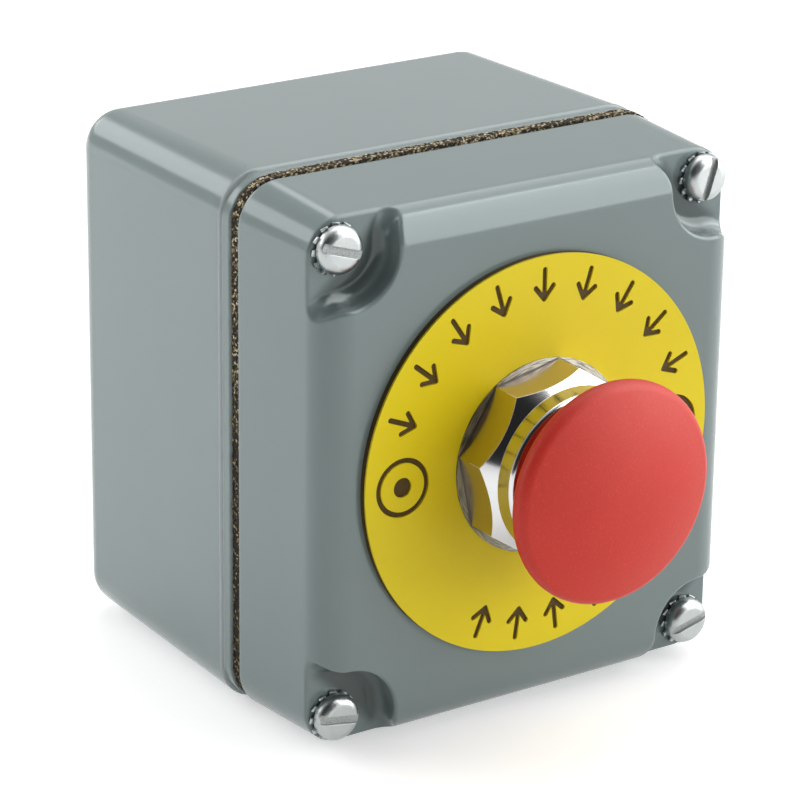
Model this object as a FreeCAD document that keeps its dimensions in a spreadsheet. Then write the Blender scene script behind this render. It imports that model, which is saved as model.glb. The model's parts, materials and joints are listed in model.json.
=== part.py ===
import FreeCAD, Part
import os
import re

import Sketcher
from FreeCAD import Rotation, Vector

# Wall-mounted emergency stop station: a die-cast box with a screwed cover, and a push-pull
# mushroom actuator that opens two normally closed contact blocks.
# The wall plane is y = 0 and the operator stands towards -Y. "Out" is the distance from the
# wall plane towards the operator, so out = -y. The actuator's axis is x = 0, z = 0.

DIMENSIONS = (
    # Box
    ("box_width", 90.0, "cover width at the gasket"),
    ("box_height", 98.5, "cover height at the gasket"),
    ("corner_radius", 8.0, "radius of the box's upright corners"),
    ("base_depth", 54.4, "wall plane to the gasket"),
    ("base_overhang", 0.35, "base shoulder standing out past the cover"),
    ("base_draft", 1.2, "draft of the base's outer sides, degrees"),
    ("base_wall", 3.2, "base wall thickness at the rim"),
    ("base_floor", 3.5, "base floor thickness"),
    ("back_radius", 5.0, "radius round the base's back edge"),
    ("lip_height", 2.7, "height of the base's gasket lip"),
    ("lip_inset", 0.1, "lip set in from the cover's outline"),
    ("edge_round", 0.5, "small casting edge radius"),
    ("pillar_radius", 4.6, "screw pillar radius"),
    ("tapped_depth", 14.0, "depth of the tapped holes for the cover screws"),
    ("cover_depth", 26.3, "gasket to the cover's front face"),
    ("cover_draft", 3.0, "draft of the cover's sides, degrees"),
    ("cover_wall", 3.0, "cover wall thickness"),
    ("cover_edge", 6.4, "radius round the cover's front edge"),
    ("cover_rim_round", 1.0, "radius round the cover's rim"),
    ("gasket_thick", 2.1, "gasket thickness"),
    ("gasket_inset", 0.2, "gasket set in from the cover's outline"),
    ("gasket_width", 3.2, "width of the gasket frame"),
    # Screw pockets
    ("screw_inset", 6.5, "cover screw axis to the cover's outline"),
    ("pocket_depth", 5.4, "depth of the corner pockets"),
    ("pocket_radius", 9.8, "pocket radius"),
    ("pocket_flare", 6.8, "radius that opens the pocket to the sides"),
    ("pocket_floor_round", 2.4, "radius round the pocket's floor"),
    ("pocket_rim_round", 0.6, "radius round the pocket's rim"),
    ("pocket_shell", 2.5, "metal left behind the pocket"),
    # Cover screws
    ("screw_dia", 5.0, "cover screw thread"),
    ("screw_grip", 10.0, "length of screw in the base"),
    ("head_dia", 8.5, "screw head diameter"),
    ("head_height", 2.4, "screw head height"),
    ("head_crown", 1.7, "rounding of the screw head"),
    ("slot_width", 1.5, "screw slot width"),
    ("slot_depth", 0.8, "screw slot depth"),
    ("washer_dia", 9.6, "toothed washer diameter"),
    ("washer_thick", 0.8, "toothed washer thickness"),
    ("tooth_depth", 1.3, "toothed washer notch depth"),
    ("tooth_gap", 0.9, "toothed washer notch width"),
    ("tooth_count", 12, "toothed washer teeth"),
    ("turn_lower_left", -10.0, "slot of the lower left screw, degrees"),
    ("turn_upper_left", -18.0, "slot of the upper left screw, degrees"),
    ("turn_lower_right", 14.0, "slot of the lower right screw, degrees"),
    ("turn_upper_right", 72.0, "slot of the upper right screw, degrees"),
    ("hole_clearance", 0.3, "radial clearance of a through hole"),
    ("thread_clearance", 0.05, "radial allowance of a screwed joint"),
    # Mounting and entries
    ("fixing_dia", 5.5, "wall fixing hole"),
    ("fixing_width", 50.0, "wall fixing holes apart, across"),
    ("fixing_height", 70.0, "wall fixing holes apart, upright"),
    ("entry_dia", 20.0, "cable entry thread"),
    ("entry_boss_dia", 27.0, "boss round the cable entry"),
    ("entry_boss_height", 10.0, "boss length from the underside"),
    ("entry_out", 26.0, "cable entry axis from the wall plane"),
    ("earth_inset", 11.0, "earth terminal to the cover's outline"),
    ("earth_boss_dia", 9.0, "earth boss diameter"),
    ("earth_boss_height", 7.0, "earth boss over the floor"),
    ("earth_screw_dia", 4.0, "earth screw thread"),
    ("earth_screw_length", 6.0, "earth screw thread in the boss"),
    ("earth_head_dia", 8.0, "earth screw head diameter"),
    ("earth_head_height", 2.6, "earth screw head height"),
    ("earth_washer_dia", 9.0, "earth washer diameter"),
    ("earth_washer_thick", 1.0, "earth washer thickness"),
    # Legend plate
    ("plate_dia", 73.0, "legend plate diameter"),
    ("core_thick", 1.1, "legend plate core"),
    ("skin_thick", 0.4, "legend plate face layer"),
    # Bezel nut
    ("bushing_dia", 27.0, "actuator bushing thread"),
    ("panel_clearance", 0.3, "bushing to the holes in the panel and plate"),
    ("flange_dia", 35.7, "nut flange diameter"),
    ("flange_edge", 0.25, "nut flange thickness at its edge"),
    ("flange_slope", 32.0, "slope of the nut flange, degrees"),
    ("across_flats", 32.7, "nut across flats"),
    ("nut_turn", 12.0, "turn of the nut's first flat, degrees"),
    ("nut_height", 9.0, "nut from the plate to its shoulder"),
    ("cone_rise", 2.7, "height of the nut's cone"),
    ("neck_dia", 31.0, "neck diameter at the shoulder"),
    ("neck_front_dia", 30.2, "neck diameter at its front edge"),
    ("neck_height", 3.5, "neck from the shoulder to its front"),
    ("neck_round", 1.1, "rounding of the neck's front edge"),
    ("lip_thick", 2.4, "neck lip that covers the wiper"),
    ("wiper_thick", 2.5, "wiper ring thickness"),
    # Bushing
    ("seal_thick", 1.5, "panel seal thickness"),
    ("collar_dia", 36.0, "bushing collar behind the panel"),
    ("collar_thick", 3.5, "bushing collar thickness"),
    ("barrel_dia", 26.0, "bushing barrel behind the collar"),
    ("barrel_length", 10.0, "bushing barrel behind the collar"),
    # Mushroom and plunger
    ("travel", 5.3, "press of the mushroom"),
    ("button_gap", 5.8, "neck front to the mushroom's rim at rest"),
    ("button_dia", 40.2, "mushroom diameter"),
    ("button_height", 7.8, "mushroom rim to its crown"),
    ("rim_height", 2.2, "mushroom rim to its widest line"),
    ("button_land", 1.4, "flat ring under the mushroom's rim"),
    ("button_hollow", 1.8, "depth of the hollow under the mushroom"),
    ("hub_dia", 22.4, "mushroom hub diameter"),
    ("hub_clearance", 0.3, "hub to the bores round it"),
    ("wiper_clearance", 0.08, "hub to the wiper ring"),
    ("hub_reach", 9.0, "hub inside the neck at rest"),
    ("stop_clearance", 0.5, "room left under the hub when pressed"),
    ("shaft_dia", 8.0, "plunger shaft diameter"),
    ("shaft_clearance", 0.05, "shaft running clearance"),
    ("stud_dia", 6.0, "threaded end of the shaft in the hub"),
    ("stud_length", 9.0, "threaded end length"),
    ("tail_dia", 5.0, "shaft tail that carries the pressure plate"),
    ("detent_depth", 0.6, "depth of the detent grooves"),
    ("detent_wire", 1.2, "detent spring wire"),
    ("detent_clearance", 0.15, "detent spring clearance"),
    ("detent_out", 5.0, "detent spring in front of the barrel's back"),
    ("press_thick", 3.0, "pressure plate thickness"),
    ("press_height", 12.0, "pressure plate height"),
    ("press_round", 2.0, "pressure plate corner radius"),
    ("press_side", 4.0, "pressure plate past the contact plungers"),
    ("press_play", 0.3, "pressure plate to the barrel at rest"),
    ("clip_dia", 8.6, "retaining clip diameter"),
    ("clip_thick", 0.8, "retaining clip thickness"),
    ("clip_groove", 0.5, "retaining clip groove depth"),
    # Contact mount and blocks
    ("mount_depth", 13.0, "contact mount depth"),
    ("mount_width", 40.0, "contact mount width"),
    ("mount_height", 30.0, "contact mount height"),
    ("window_margin", 1.0, "pressure plate to the mount's window"),
    ("mount_screw_dia", 3.0, "mount screw thread"),
    ("mount_screw_z", 10.6, "mount screw from the axis"),
    ("mount_screw_grip", 6.0, "mount screw in the barrel"),
    ("small_head_dia", 5.5, "head diameter of the small screws"),
    ("small_head_height", 2.2, "head height of the small screws"),
    ("block_gap", 0.5, "gap between the contact blocks"),
    ("block_width", 18.5, "contact block width"),
    ("block_length", 46.0, "contact block length"),
    ("block_depth", 28.0, "contact block depth"),
    ("block_wall", 2.0, "contact block wall"),
    ("lid_thick", 2.0, "contact block lid thickness"),
    ("plunger_x", 8.2, "contact plunger from the axis"),
    ("chamber_width", 9.6, "contact chamber width"),
    ("terminal_ledge", 8.5, "terminal ledge past the contact chamber's wall"),
    ("block_screw_x", 16.0, "block screw from the axis"),
    ("block_screw_z", 9.0, "block screw from the axis"),
    ("block_screw_grip", 7.0, "block screw in the mount"),
    ("terminal_step", 7.0, "depth of the terminal ledges"),
    ("strip_width", 5.0, "fixed contact strip width"),
    ("strip_thick", 1.0, "fixed contact strip thickness"),
    ("strip_past", 2.0, "fixed contact strip past its rivet"),
    ("strip_end", 1.0, "ledge past the end of the strip"),
    ("slot_clearance", 0.1, "room round the strips and the bridge"),
    ("rivet_inset", 4.5, "contact rivets from the end of the chamber"),
    ("rivet_dia", 3.0, "contact rivet diameter"),
    ("rivet_thick", 0.6, "contact rivet thickness"),
    ("bridge_width", 4.0, "moving bridge width"),
    ("bridge_thick", 1.0, "moving bridge thickness"),
    ("plunger_dia", 5.6, "contact plunger diameter"),
    ("plunger_clearance", 0.1, "contact plunger running clearance"),
    ("tip_gap", 0.05, "contact plunger to the pressure plate"),
    ("plunger_tail", 4.0, "contact plunger behind the bridge"),
    ("guide_dia", 2.8, "spring guide diameter"),
    ("guide_length", 4.0, "spring guide length"),
    ("spring_wire", 0.7, "contact spring wire"),
    ("spring_dia", 4.6, "contact spring mean diameter"),
    ("spring_turns", 5.0, "contact spring turns"),
    ("spring_seat", 0.05, "contact spring to its seats"),
    ("terminal_inset", 4.5, "terminal screws from the end of the block"),
    ("terminal_dia", 3.5, "terminal screw thread"),
    ("terminal_length", 5.0, "terminal screw in the block"),
    ("terminal_head_dia", 6.4, "terminal screw head diameter"),
    ("terminal_head_height", 2.4, "terminal screw head height"),
    ("clamp_size", 7.0, "terminal clamp plate"),
    ("clamp_thick", 1.0, "terminal clamp thickness"),
)
ALIASES = {alias for alias, _, _ in DIMENSIONS}

# Places along the actuator's axis, as distances out from the wall plane
SEAT = "(base_depth + gasket_thick)"
FACE = "(base_depth + gasket_thick + cover_depth)"
PLATE_FRONT = f"({FACE} + core_thick + skin_thick)"
SHOULDER = f"({PLATE_FRONT} + nut_height)"
NECK_FRONT = f"({SHOULDER} + neck_height)"
WIPER_FRONT = f"({NECK_FRONT} - lip_thick)"
BUSHING_FRONT = f"({WIPER_FRONT} - wiper_thick)"
BUTTON_BACK = f"({NECK_FRONT} + button_gap)"
BUTTON_CROWN = f"({BUTTON_BACK} + button_height)"
HUB_BACK = f"({NECK_FRONT} - hub_reach)"
BORE_END = f"({HUB_BACK} - travel - stop_clearance)"
PANEL_BACK = f"({FACE} - cover_wall)"
COLLAR_FRONT = f"({PANEL_BACK} - seal_thick)"
COLLAR_BACK = f"({COLLAR_FRONT} - collar_thick)"
BARREL_BACK = f"({COLLAR_BACK} - barrel_length)"
DETENT = f"({BARREL_BACK} + detent_out)"
PRESS_FRONT = f"({BARREL_BACK} - press_play)"
PRESS_BACK = f"({PRESS_FRONT} - press_thick)"
BLOCK_FRONT = f"({BARREL_BACK} - mount_depth)"
LEDGE = f"({BLOCK_FRONT} - terminal_step)"
STRIP_BACK = f"({LEDGE} - strip_thick)"
BRIDGE_FRONT = f"({STRIP_BACK} - 2 * rivet_thick)"
BRIDGE_BACK = f"({BRIDGE_FRONT} - bridge_thick)"
PLUNGER_BACK = f"({BRIDGE_BACK} - plunger_tail)"
BLOCK_BACK = f"({BLOCK_FRONT} - block_depth)"
LID_FRONT = f"({BLOCK_BACK} + lid_thick)"
POCKET_SKIN = f"({FACE} - pocket_depth - pocket_shell)"
HEAD_SEAT = f"({FACE} - pocket_depth + washer_thick)"
SCREW_X = "(box_width / 2 - screw_inset)"
SCREW_Z = "(box_height / 2 - screw_inset)"
LEG_X = "(shaft_dia / 2 - detent_depth + detent_clearance + detent_wire / 2)"
PRESS_WIDTH = "(2 * (plunger_x + press_side))"
EARTH_X = "(earth_inset - box_width / 2)"
CHAMBER_LENGTH = "(block_length - 2 * (terminal_ledge + block_wall))"
RIVET_Z = f"({CHAMBER_LENGTH} / 2 - rivet_inset)"
STRIP_INNER = f"({RIVET_Z} - strip_past)"
TERMINAL_Z = "(block_length / 2 - terminal_inset)"
CORNERS = ((-1, -1), (-1, 1), (1, -1), (1, 1))

doc = FreeCAD.newDocument("emergency_stop")
sheet = doc.addObject("Spreadsheet::Sheet", "dims")
for row, (alias, number, meaning) in enumerate(DIMENSIONS, start=1):
    sheet.set(f"A{row}", meaning)
    sheet.set(f"B{row}", str(number))
    sheet.setAlias(f"B{row}", alias)
doc.recompute()
nodes = []


def formula(text):
    """The text of a size with its aliases pointing at the sheet."""
    return re.sub(r"[a-z]\w*", lambda m: f"dims.{m[0]}" if m[0] in ALIASES else m[0], str(text))


def value(text):
    """The present value of a size in millimetres."""
    return float(sheet.evalExpression(formula(text)))


def tie(item, **sizes):
    """Bind properties of an object to the sheet."""
    for name, text in sizes.items():
        item.setExpression(name, formula(text))
    return item


def tie_place(item, x="0", out="0", z="0"):
    """Bind an object's position to the sheet."""
    for name, text in (("x", x), ("y", f"-({out})"), ("z", z)):
        item.setExpression(f"Placement.Base.{name}", formula(text))
    return item


def node(item, label):
    """Name an object as one of the finished pieces."""
    item.Label = label
    nodes.append(item)
    return item


# Sketches and features

def sketch_on(body, role, x="0", y="0", out="0"):
    """An empty sketch on one of the body's origin planes, moved along that plane's own axes."""
    sketch = body.newObject("Sketcher::SketchObject", "outline")
    plane = next(item for item in body.Origin.OriginFeatures if item.Role == role)
    sketch.AttachmentSupport = [(plane, "")]
    sketch.MapMode = "FlatFace"
    for name, text in (("x", x), ("y", y), ("z", out)):
        sketch.setExpression(f"AttachmentOffset.Base.{name}", formula(text))
    return sketch


def constrain(sketch, kind, place, text):
    """Add a size to a sketch and bind it to the sheet."""
    index = sketch.addConstraint(Sketcher.Constraint(kind, *place, value(text)))
    sketch.setExpression(f"Constraints[{index}]", formula(text))


def arc_middle(start, end, radius, turn):
    """Middle of the smaller arc from start to end, turning left (1) or right (-1)."""
    chord = end - start
    half = chord.Length / 2
    rise = radius - max(radius**2 - half**2, 0) ** 0.5
    return (start + end) * 0.5 + Vector(chord.y, -chord.x, 0).normalize() * rise * turn


def outline(sketch, points):
    """A closed outline through points (x, y); (x, y, radius, turn) leaves its point on an arc."""
    spots = [Vector(value(point[0]), value(point[1]), 0) for point in points]
    ends = []
    first = sketch.GeometryCount
    for place, point in enumerate(points):
        start, end = spots[place], spots[(place + 1) % len(points)]
        if len(point) == 2:
            sketch.addGeometry(Part.LineSegment(start, end), False)
            ends.append((1, 2))
        else:
            middle = arc_middle(start, end, value(point[2]), point[3])
            sketch.addGeometry(Part.Arc(start, middle, end), False)
            ends.append((1, 2) if point[3] > 0 else (2, 1))
    for place, point in enumerate(points):
        after = (place + 1) % len(points)
        joined = (first + place, ends[place][1], first + after, ends[after][0])
        sketch.addConstraint(Sketcher.Constraint("Coincident", *joined))
        constrain(sketch, "DistanceX", (first + place, ends[place][0]), point[0])
        constrain(sketch, "DistanceY", (first + place, ends[place][0]), point[1])
        if len(point) > 2:
            constrain(sketch, "Radius", (first + place,), point[2])
    return sketch


def rounded_rectangle(sketch, width, height, radius):
    """A rectangle centred on the sketch's origin with rounded corners."""
    far_x, far_y = f"(({width}) / 2)", f"(({height}) / 2)"
    near_x, near_y = f"({far_x} - ({radius}))", f"({far_y} - ({radius}))"
    return outline(sketch, [
        (f"-{near_x}", f"-{far_y}"), (near_x, f"-{far_y}", radius, 1),
        (far_x, f"-{near_y}"), (far_x, near_y, radius, 1),
        (near_x, far_y), (f"-{near_x}", far_y, radius, 1),
        (f"-{far_x}", near_y), (f"-{far_x}", f"-{near_y}", radius, 1),
    ])


def circle(sketch, x, y, radius):
    """A circle in a sketch."""
    centre = Vector(value(x), value(y), 0)
    index = sketch.addGeometry(Part.Circle(centre, Vector(0, 0, 1), value(radius)), False)
    constrain(sketch, "DistanceX", (index, 3), x)
    constrain(sketch, "DistanceY", (index, 3), y)
    constrain(sketch, "Radius", (index,), radius)
    return sketch


def feature(body, kind, sketch, name, **sizes):
    """A sketch-based feature with its sizes bound to the sheet."""
    item = body.newObject(f"PartDesign::{kind}", name)
    item.Profile = sketch
    return tie(item, **sizes)


def revolve(body, points, x="0", z="0", kind="Revolution"):
    """Turn an outline of (radius, out) points about an axis along Y through x, z."""
    sketch = sketch_on(body, "XY_Plane", x, "0", z)
    outline(sketch, [(point[0], f"-({point[1]})", *point[2:]) for point in points])
    item = body.newObject(f"PartDesign::{kind}", "turned")
    item.Profile = sketch
    item.ReferenceAxis = (sketch, ["V_Axis"])
    item.Angle = 360
    return item


def round_edges(body, base, radius, chosen, name):
    """Fillet the edges of a feature that a test picks out."""
    doc.recompute()
    picked = [f"Edge{i}" for i, edge in enumerate(base.Shape.Edges, start=1) if chosen(edge)]
    item = body.newObject("PartDesign::Fillet", name)
    item.Base = (base, picked)
    return tie(item, Radius=radius)


def new_body(label):
    """An empty body that will be one finished piece."""
    return node(doc.addObject("PartDesign::Body", label), label)


# Solids and booleans

def rod(radius, length, x="0", out="0", z="0"):
    """A cylinder along Y that starts at out and runs towards the operator."""
    item = tie(doc.addObject("Part::Cylinder", "rod"), Radius=radius, Height=length)
    item.Placement.Rotation = Rotation(Vector(1, 0, 0), 90)
    return tie_place(item, x, out, z)


def block(width, depth, height, x="0", out="0", z="0"):
    """A box centred on x and z that starts at out and runs towards the operator."""
    item = tie(doc.addObject("Part::Box", "block"), Length=width, Width=depth, Height=height)
    return tie_place(item, f"({x}) - ({width}) / 2", f"({out}) + ({depth})", f"({z}) - ({height}) / 2")


def fuse(parts):
    """One solid from overlapping or touching solids."""
    item = doc.addObject("Part::MultiFuse", "joined")
    item.Shapes = parts
    item.Refine = True
    return item


def cut(base, tools):
    """A solid with others taken away."""
    item = doc.addObject("Part::Cut", "cut")
    item.Base = base
    item.Tool = tools[0] if len(tools) == 1 else fuse(tools)
    return item


def at_out(edge, text):
    """Whether a whole edge lies in the plane at this distance from the wall."""
    box = edge.BoundBox
    return abs(box.YMin + value(text)) < 0.001 and abs(box.YMax + value(text)) < 0.001


# Box

def make_base():
    body = new_body("base_box")
    width, height = "(box_width + 2 * base_overhang)", "(box_height + 2 * base_overhang)"
    shell = rounded_rectangle(sketch_on(body, "XZ_Plane", out="base_depth - lip_height"),
                              width, height, "corner_radius")
    tub = feature(body, "Pad", shell, "tub", Length="base_depth - lip_height", TaperAngle="-base_draft")
    tub.Reversed = True
    back = round_edges(body, tub, "back_radius", lambda edge: at_out(edge, "0"), "back_edge")
    round_edges(body, back, "edge_round",
                lambda edge: at_out(edge, "base_depth - lip_height"), "shoulder_edge")
    lip_sketch = rounded_rectangle(
        sketch_on(body, "XZ_Plane", out="base_depth - lip_height - base_wall"),
        "box_width - 2 * lip_inset", "box_height - 2 * lip_inset", "corner_radius")
    lip = feature(body, "Pad", lip_sketch, "lip", Length="lip_height + base_wall")
    round_edges(body, lip, "edge_round", lambda edge: at_out(edge, "base_depth"), "rim_edge")

    inside = rounded_rectangle(
        sketch_on(body, "XZ_Plane", out="base_depth"), "box_width - 2 * (lip_inset + base_wall)",
        "box_height - 2 * (lip_inset + base_wall)", "corner_radius - base_wall")
    feature(body, "Pocket", inside, "inside", Length="base_depth - base_floor", TaperAngle="-base_draft")

    pillars = sketch_on(body, "XZ_Plane", out="base_floor")
    for side, level in CORNERS:
        circle(pillars, f"{side} * {SCREW_X}", f"{level} * {SCREW_Z}", "pillar_radius")
    feature(body, "Pad", pillars, "pillars", Length="base_depth - base_floor")
    tapped = sketch_on(body, "XZ_Plane", out="base_depth")
    for side, level in CORNERS:
        circle(tapped, f"{side} * {SCREW_X}", f"{level} * {SCREW_Z}", "screw_dia / 2 + thread_clearance")
    feature(body, "Pocket", tapped, "tapped_holes", Length="tapped_depth")

    earth = circle(sketch_on(body, "XZ_Plane", out="base_floor / 2"), EARTH_X, "0",
                   "earth_boss_dia / 2")
    feature(body, "Pad", earth, "earth_boss", Length="base_floor / 2 + earth_boss_height")
    earth_hole = circle(sketch_on(body, "XZ_Plane", out="base_floor + earth_boss_height"),
                        EARTH_X, "0", "earth_screw_dia / 2 + thread_clearance")
    feature(body, "Pocket", earth_hole, "earth_hole", Length="earth_boss_height")

    underside = "(box_height / 2 + base_overhang)"
    entry = circle(sketch_on(body, "XY_Plane", "0", "0", f"base_wall - {underside}"), "0", "-entry_out",
                   "entry_boss_dia / 2")
    feature(body, "Pad", entry, "entry_boss", Length="entry_boss_height - base_wall")
    entry_hole = circle(sketch_on(body, "XY_Plane", "0", "0", f"-{underside}"), "0", "-entry_out",
                        "entry_dia / 2")
    entry_cut = feature(body, "Pocket", entry_hole, "entry_hole", Length="entry_boss_height")
    entry_cut.Reversed = True

    fixings = sketch_on(body, "XZ_Plane", out="base_floor")
    for side, level in CORNERS:
        circle(fixings, f"{side} * fixing_width / 2", f"{level} * fixing_height / 2", "fixing_dia / 2")
    feature(body, "Pocket", fixings, "fixing_holes", Length="base_floor")


def make_cover():
    body = new_body("cover")
    outside = rounded_rectangle(sketch_on(body, "XZ_Plane", out=SEAT), "box_width", "box_height",
                                "corner_radius")
    shell = feature(body, "Pad", outside, "shell", Length="cover_depth", TaperAngle="-cover_draft")
    front = round_edges(body, shell, "cover_edge", lambda edge: at_out(edge, FACE), "front_edge")
    round_edges(body, front, "cover_rim_round", lambda edge: at_out(edge, SEAT), "rim_edge")
    inside = rounded_rectangle(sketch_on(body, "XZ_Plane", out=SEAT), "box_width - 2 * cover_wall",
                               "box_height - 2 * cover_wall", "corner_radius - cover_wall")
    hollow = feature(body, "Pocket", inside, "inside", Length=f"{POCKET_SKIN} - {SEAT}",
                     TaperAngle="-cover_draft")
    hollow.Reversed = True
    ceiling = notched_rectangle(sketch_on(body, "XZ_Plane", out=POCKET_SKIN))
    roof = feature(body, "Pocket", ceiling, "ceiling", Length=f"{PANEL_BACK} - {POCKET_SKIN}",
                   TaperAngle="-cover_draft")
    roof.Reversed = True

    pillars = sketch_on(body, "XZ_Plane", out=SEAT)
    holes = sketch_on(body, "XZ_Plane", out=FACE)
    for side, level in CORNERS:
        x, z = f"{side} * {SCREW_X}", f"{level} * {SCREW_Z}"
        circle(pillars, x, z, "pillar_radius")
        circle(holes, x, z, "screw_dia / 2 + hole_clearance")
    feature(body, "Pad", pillars, "pillars", Length=f"{POCKET_SKIN} - {SEAT}")
    cores = pocket_cores()
    pockets = body.newObject("PartDesign::Boolean", "pockets")
    pockets.Type = "Cut"
    pockets.setObjects([cores])
    round_edges(body, pockets, "pocket_rim_round", on_pocket_rim, "pocket_rims")
    feature(body, "Pocket", holes, "screw_holes", Length="cover_depth")
    bore = circle(sketch_on(body, "XZ_Plane", out=FACE), "0", "0", "bushing_dia / 2 + panel_clearance")
    feature(body, "Pocket", bore, "actuator_hole", Length="cover_wall")


def pocket_cores():
    """The four cores that leave the corner pockets, each rounded where it meets the pocket's floor."""
    body = doc.addObject("PartDesign::Body", "pocket_cores")
    plan = sketch_on(body, "XZ_Plane", out=f"{FACE} - pocket_depth")
    for side, level in CORNERS:
        pocket_outline(plan, side, level)
    cores = feature(body, "Pad", plan, "cores", Length="2 * pocket_depth")
    round_edges(body, cores, "pocket_floor_round", on_pocket_floor, "floor_round")
    return body


def on_pocket_floor(edge):
    """Whether an edge is one of the arcs round a pocket's floor."""
    return at_out(edge, f"{FACE} - pocket_depth") and isinstance(edge.Curve, Part.Circle)


def on_pocket_rim(edge):
    """Whether an edge is where a pocket's wall or floor breaks through the cover's outside."""
    middle = edge.valueAt((edge.FirstParameter + edge.LastParameter) / 2)
    along, up = abs(middle.x) - value(SCREW_X), abs(middle.z) - value(SCREW_Z)
    near = (along**2 + up**2) ** 0.5 < value("pocket_radius + pocket_flare")
    floor = at_out(edge, f"{FACE} - pocket_depth")
    front = -edge.BoundBox.YMax > value(f"{FACE} - pocket_depth")
    outer = floor and (isinstance(edge.Curve, Part.Line) or min(along, up) > 0)
    upright = edge.BoundBox.YLength > value("pocket_depth - pocket_floor_round")
    return near and (front or outer) and not upright and not at_out(edge, PANEL_BACK)


def pocket_outline(sketch, side, level):
    """A round pocket about the screw that flares open through both sides of the corner."""
    turn = -side * level
    far = "(pocket_radius + pocket_flare)"
    past = "(2 * pocket_flare)"
    corner = [
        ("pocket_radius", "0", "pocket_radius", -turn), ("0", "pocket_radius", "pocket_flare", turn),
        ("-pocket_flare", far), (f"-{past}", far), (f"-{past}", f"-{past}"), (far, f"-{past}"),
        (far, "-pocket_flare", "pocket_flare", turn),
    ]
    outline(sketch, [
        (f"{side} * ({SCREW_X} - {point[0]})", f"{level} * ({SCREW_Z} - {point[1]})", *point[2:])
        for point in corner
    ])


def notched_rectangle(sketch):
    """The cover's inside at the level of the pockets, with the metal round them left in the corners."""
    lean = f"(({POCKET_SKIN} - {SEAT}) * tan(cover_draft * 1 deg))"
    wall_x, wall_z = f"(box_width / 2 - cover_wall - {lean})", f"(box_height / 2 - cover_wall - {lean})"
    reach = "(pocket_radius + pocket_shell)"
    near_x, near_z = f"({SCREW_X} - {reach})", f"({SCREW_Z} - {reach})"
    points = []
    for side, level in ((1, -1), (1, 1), (-1, 1), (-1, -1)):
        notch = [(wall_x, near_z), (SCREW_X, near_z), (near_x, SCREW_Z), (near_x, wall_z)]
        if side * level < 0:
            notch.reverse()
        spots = [(f"{side} * {x}", f"{level} * {z}") for x, z in notch]
        spots[1] += (reach, -1)
        points += spots
    return outline(sketch, points)


def make_gasket():
    body = new_body("gasket")
    frame = rounded_rectangle(sketch_on(body, "XZ_Plane", out="base_depth"),
                              "box_width - 2 * gasket_inset", "box_height - 2 * gasket_inset",
                              "corner_radius - gasket_inset")
    feature(body, "Pad", frame, "sheet", Length="gasket_thick")
    window = rounded_rectangle(sketch_on(body, "XZ_Plane", out="base_depth"),
                               "box_width - 2 * (gasket_inset + gasket_width)",
                               "box_height - 2 * (gasket_inset + gasket_width)",
                               "corner_radius - gasket_width")
    inside = feature(body, "Pocket", window, "window", Length="gasket_thick")
    inside.Reversed = True
    ears = sketch_on(body, "XZ_Plane", out="base_depth")
    holes = sketch_on(body, "XZ_Plane", out="base_depth")
    for side, level in CORNERS:
        circle(ears, f"{side} * {SCREW_X}", f"{level} * {SCREW_Z}", "pillar_radius")
        circle(holes, f"{side} * {SCREW_X}", f"{level} * {SCREW_Z}", "screw_dia / 2 + hole_clearance")
    feature(body, "Pad", ears, "ears", Length="gasket_thick")
    bored = feature(body, "Pocket", holes, "holes", Length="gasket_thick")
    bored.Reversed = True


def make_cover_screws():
    body = new_body("cover_screws")
    tip, top = "base_depth - screw_grip", f"{HEAD_SEAT} + head_height"
    slots = sketch_on(body, "XZ_Plane", out=f"{top} - slot_depth")
    turns = ("turn_lower_left", "turn_upper_left", "turn_lower_right", "turn_upper_right")
    for (side, level), turn in zip(CORNERS, turns):
        x, z = f"{side} * {SCREW_X}", f"{level} * {SCREW_Z}"
        revolve(body, [
            ("0", tip), ("screw_dia / 2", tip), ("screw_dia / 2", HEAD_SEAT), ("head_dia / 2", HEAD_SEAT),
            ("head_dia / 2", f"{top} - head_crown", "head_crown", -1),
            ("head_dia / 2 - head_crown", top), ("0", top),
        ], x, z)
        slot_outline(slots, x, z, turn)
    cutter = feature(body, "Pocket", slots, "slots", Length="slot_depth")
    cutter.Reversed = True


def slot_outline(sketch, x, z, turn):
    """A screwdriver slot across a head, turned about the screw's axis."""
    along, across = f"cos({turn} * 1 deg)", f"sin({turn} * 1 deg)"
    points = []
    for end, edge in ((-1, -1), (1, -1), (1, 1), (-1, 1)):
        points.append((f"{x} + {end} * head_dia / 2 * {along} - {edge} * slot_width / 2 * {across}",
                       f"{z} + {end} * head_dia / 2 * {across} + {edge} * slot_width / 2 * {along}"))
    outline(sketch, points)


def make_lock_washers():
    body = new_body("lock_washers")
    floor = f"{FACE} - pocket_depth"
    disc = sketch_on(body, "XZ_Plane", SCREW_X, SCREW_Z, floor)
    circle(disc, "0", "0", "washer_dia / 2")
    circle(disc, "0", "0", "screw_dia / 2 + hole_clearance")
    feature(body, "Pad", disc, "ring", Length="washer_thick")
    notch = sketch_on(body, "XZ_Plane", SCREW_X, SCREW_Z, floor)
    inner, outer = "washer_dia / 2 - tooth_depth", "washer_dia / 2 + tooth_depth"
    outline(notch, [(inner, "-tooth_gap / 2"), (outer, "-tooth_gap / 2"),
                    (outer, "tooth_gap / 2"), (inner, "tooth_gap / 2")])
    gap = feature(body, "Pocket", notch, "gap", Length="washer_thick")
    gap.Reversed = True
    teeth = body.newObject("PartDesign::PolarPattern", "teeth")
    teeth.Originals = [gap]
    teeth.Axis = (notch, ["N_Axis"])
    teeth.Angle = 360
    tie(teeth, Occurrences="tooth_count")
    body.Tip = teeth
    for role in ("YZ_Plane", "XY_Plane"):
        mirror_body(body, role)


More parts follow.
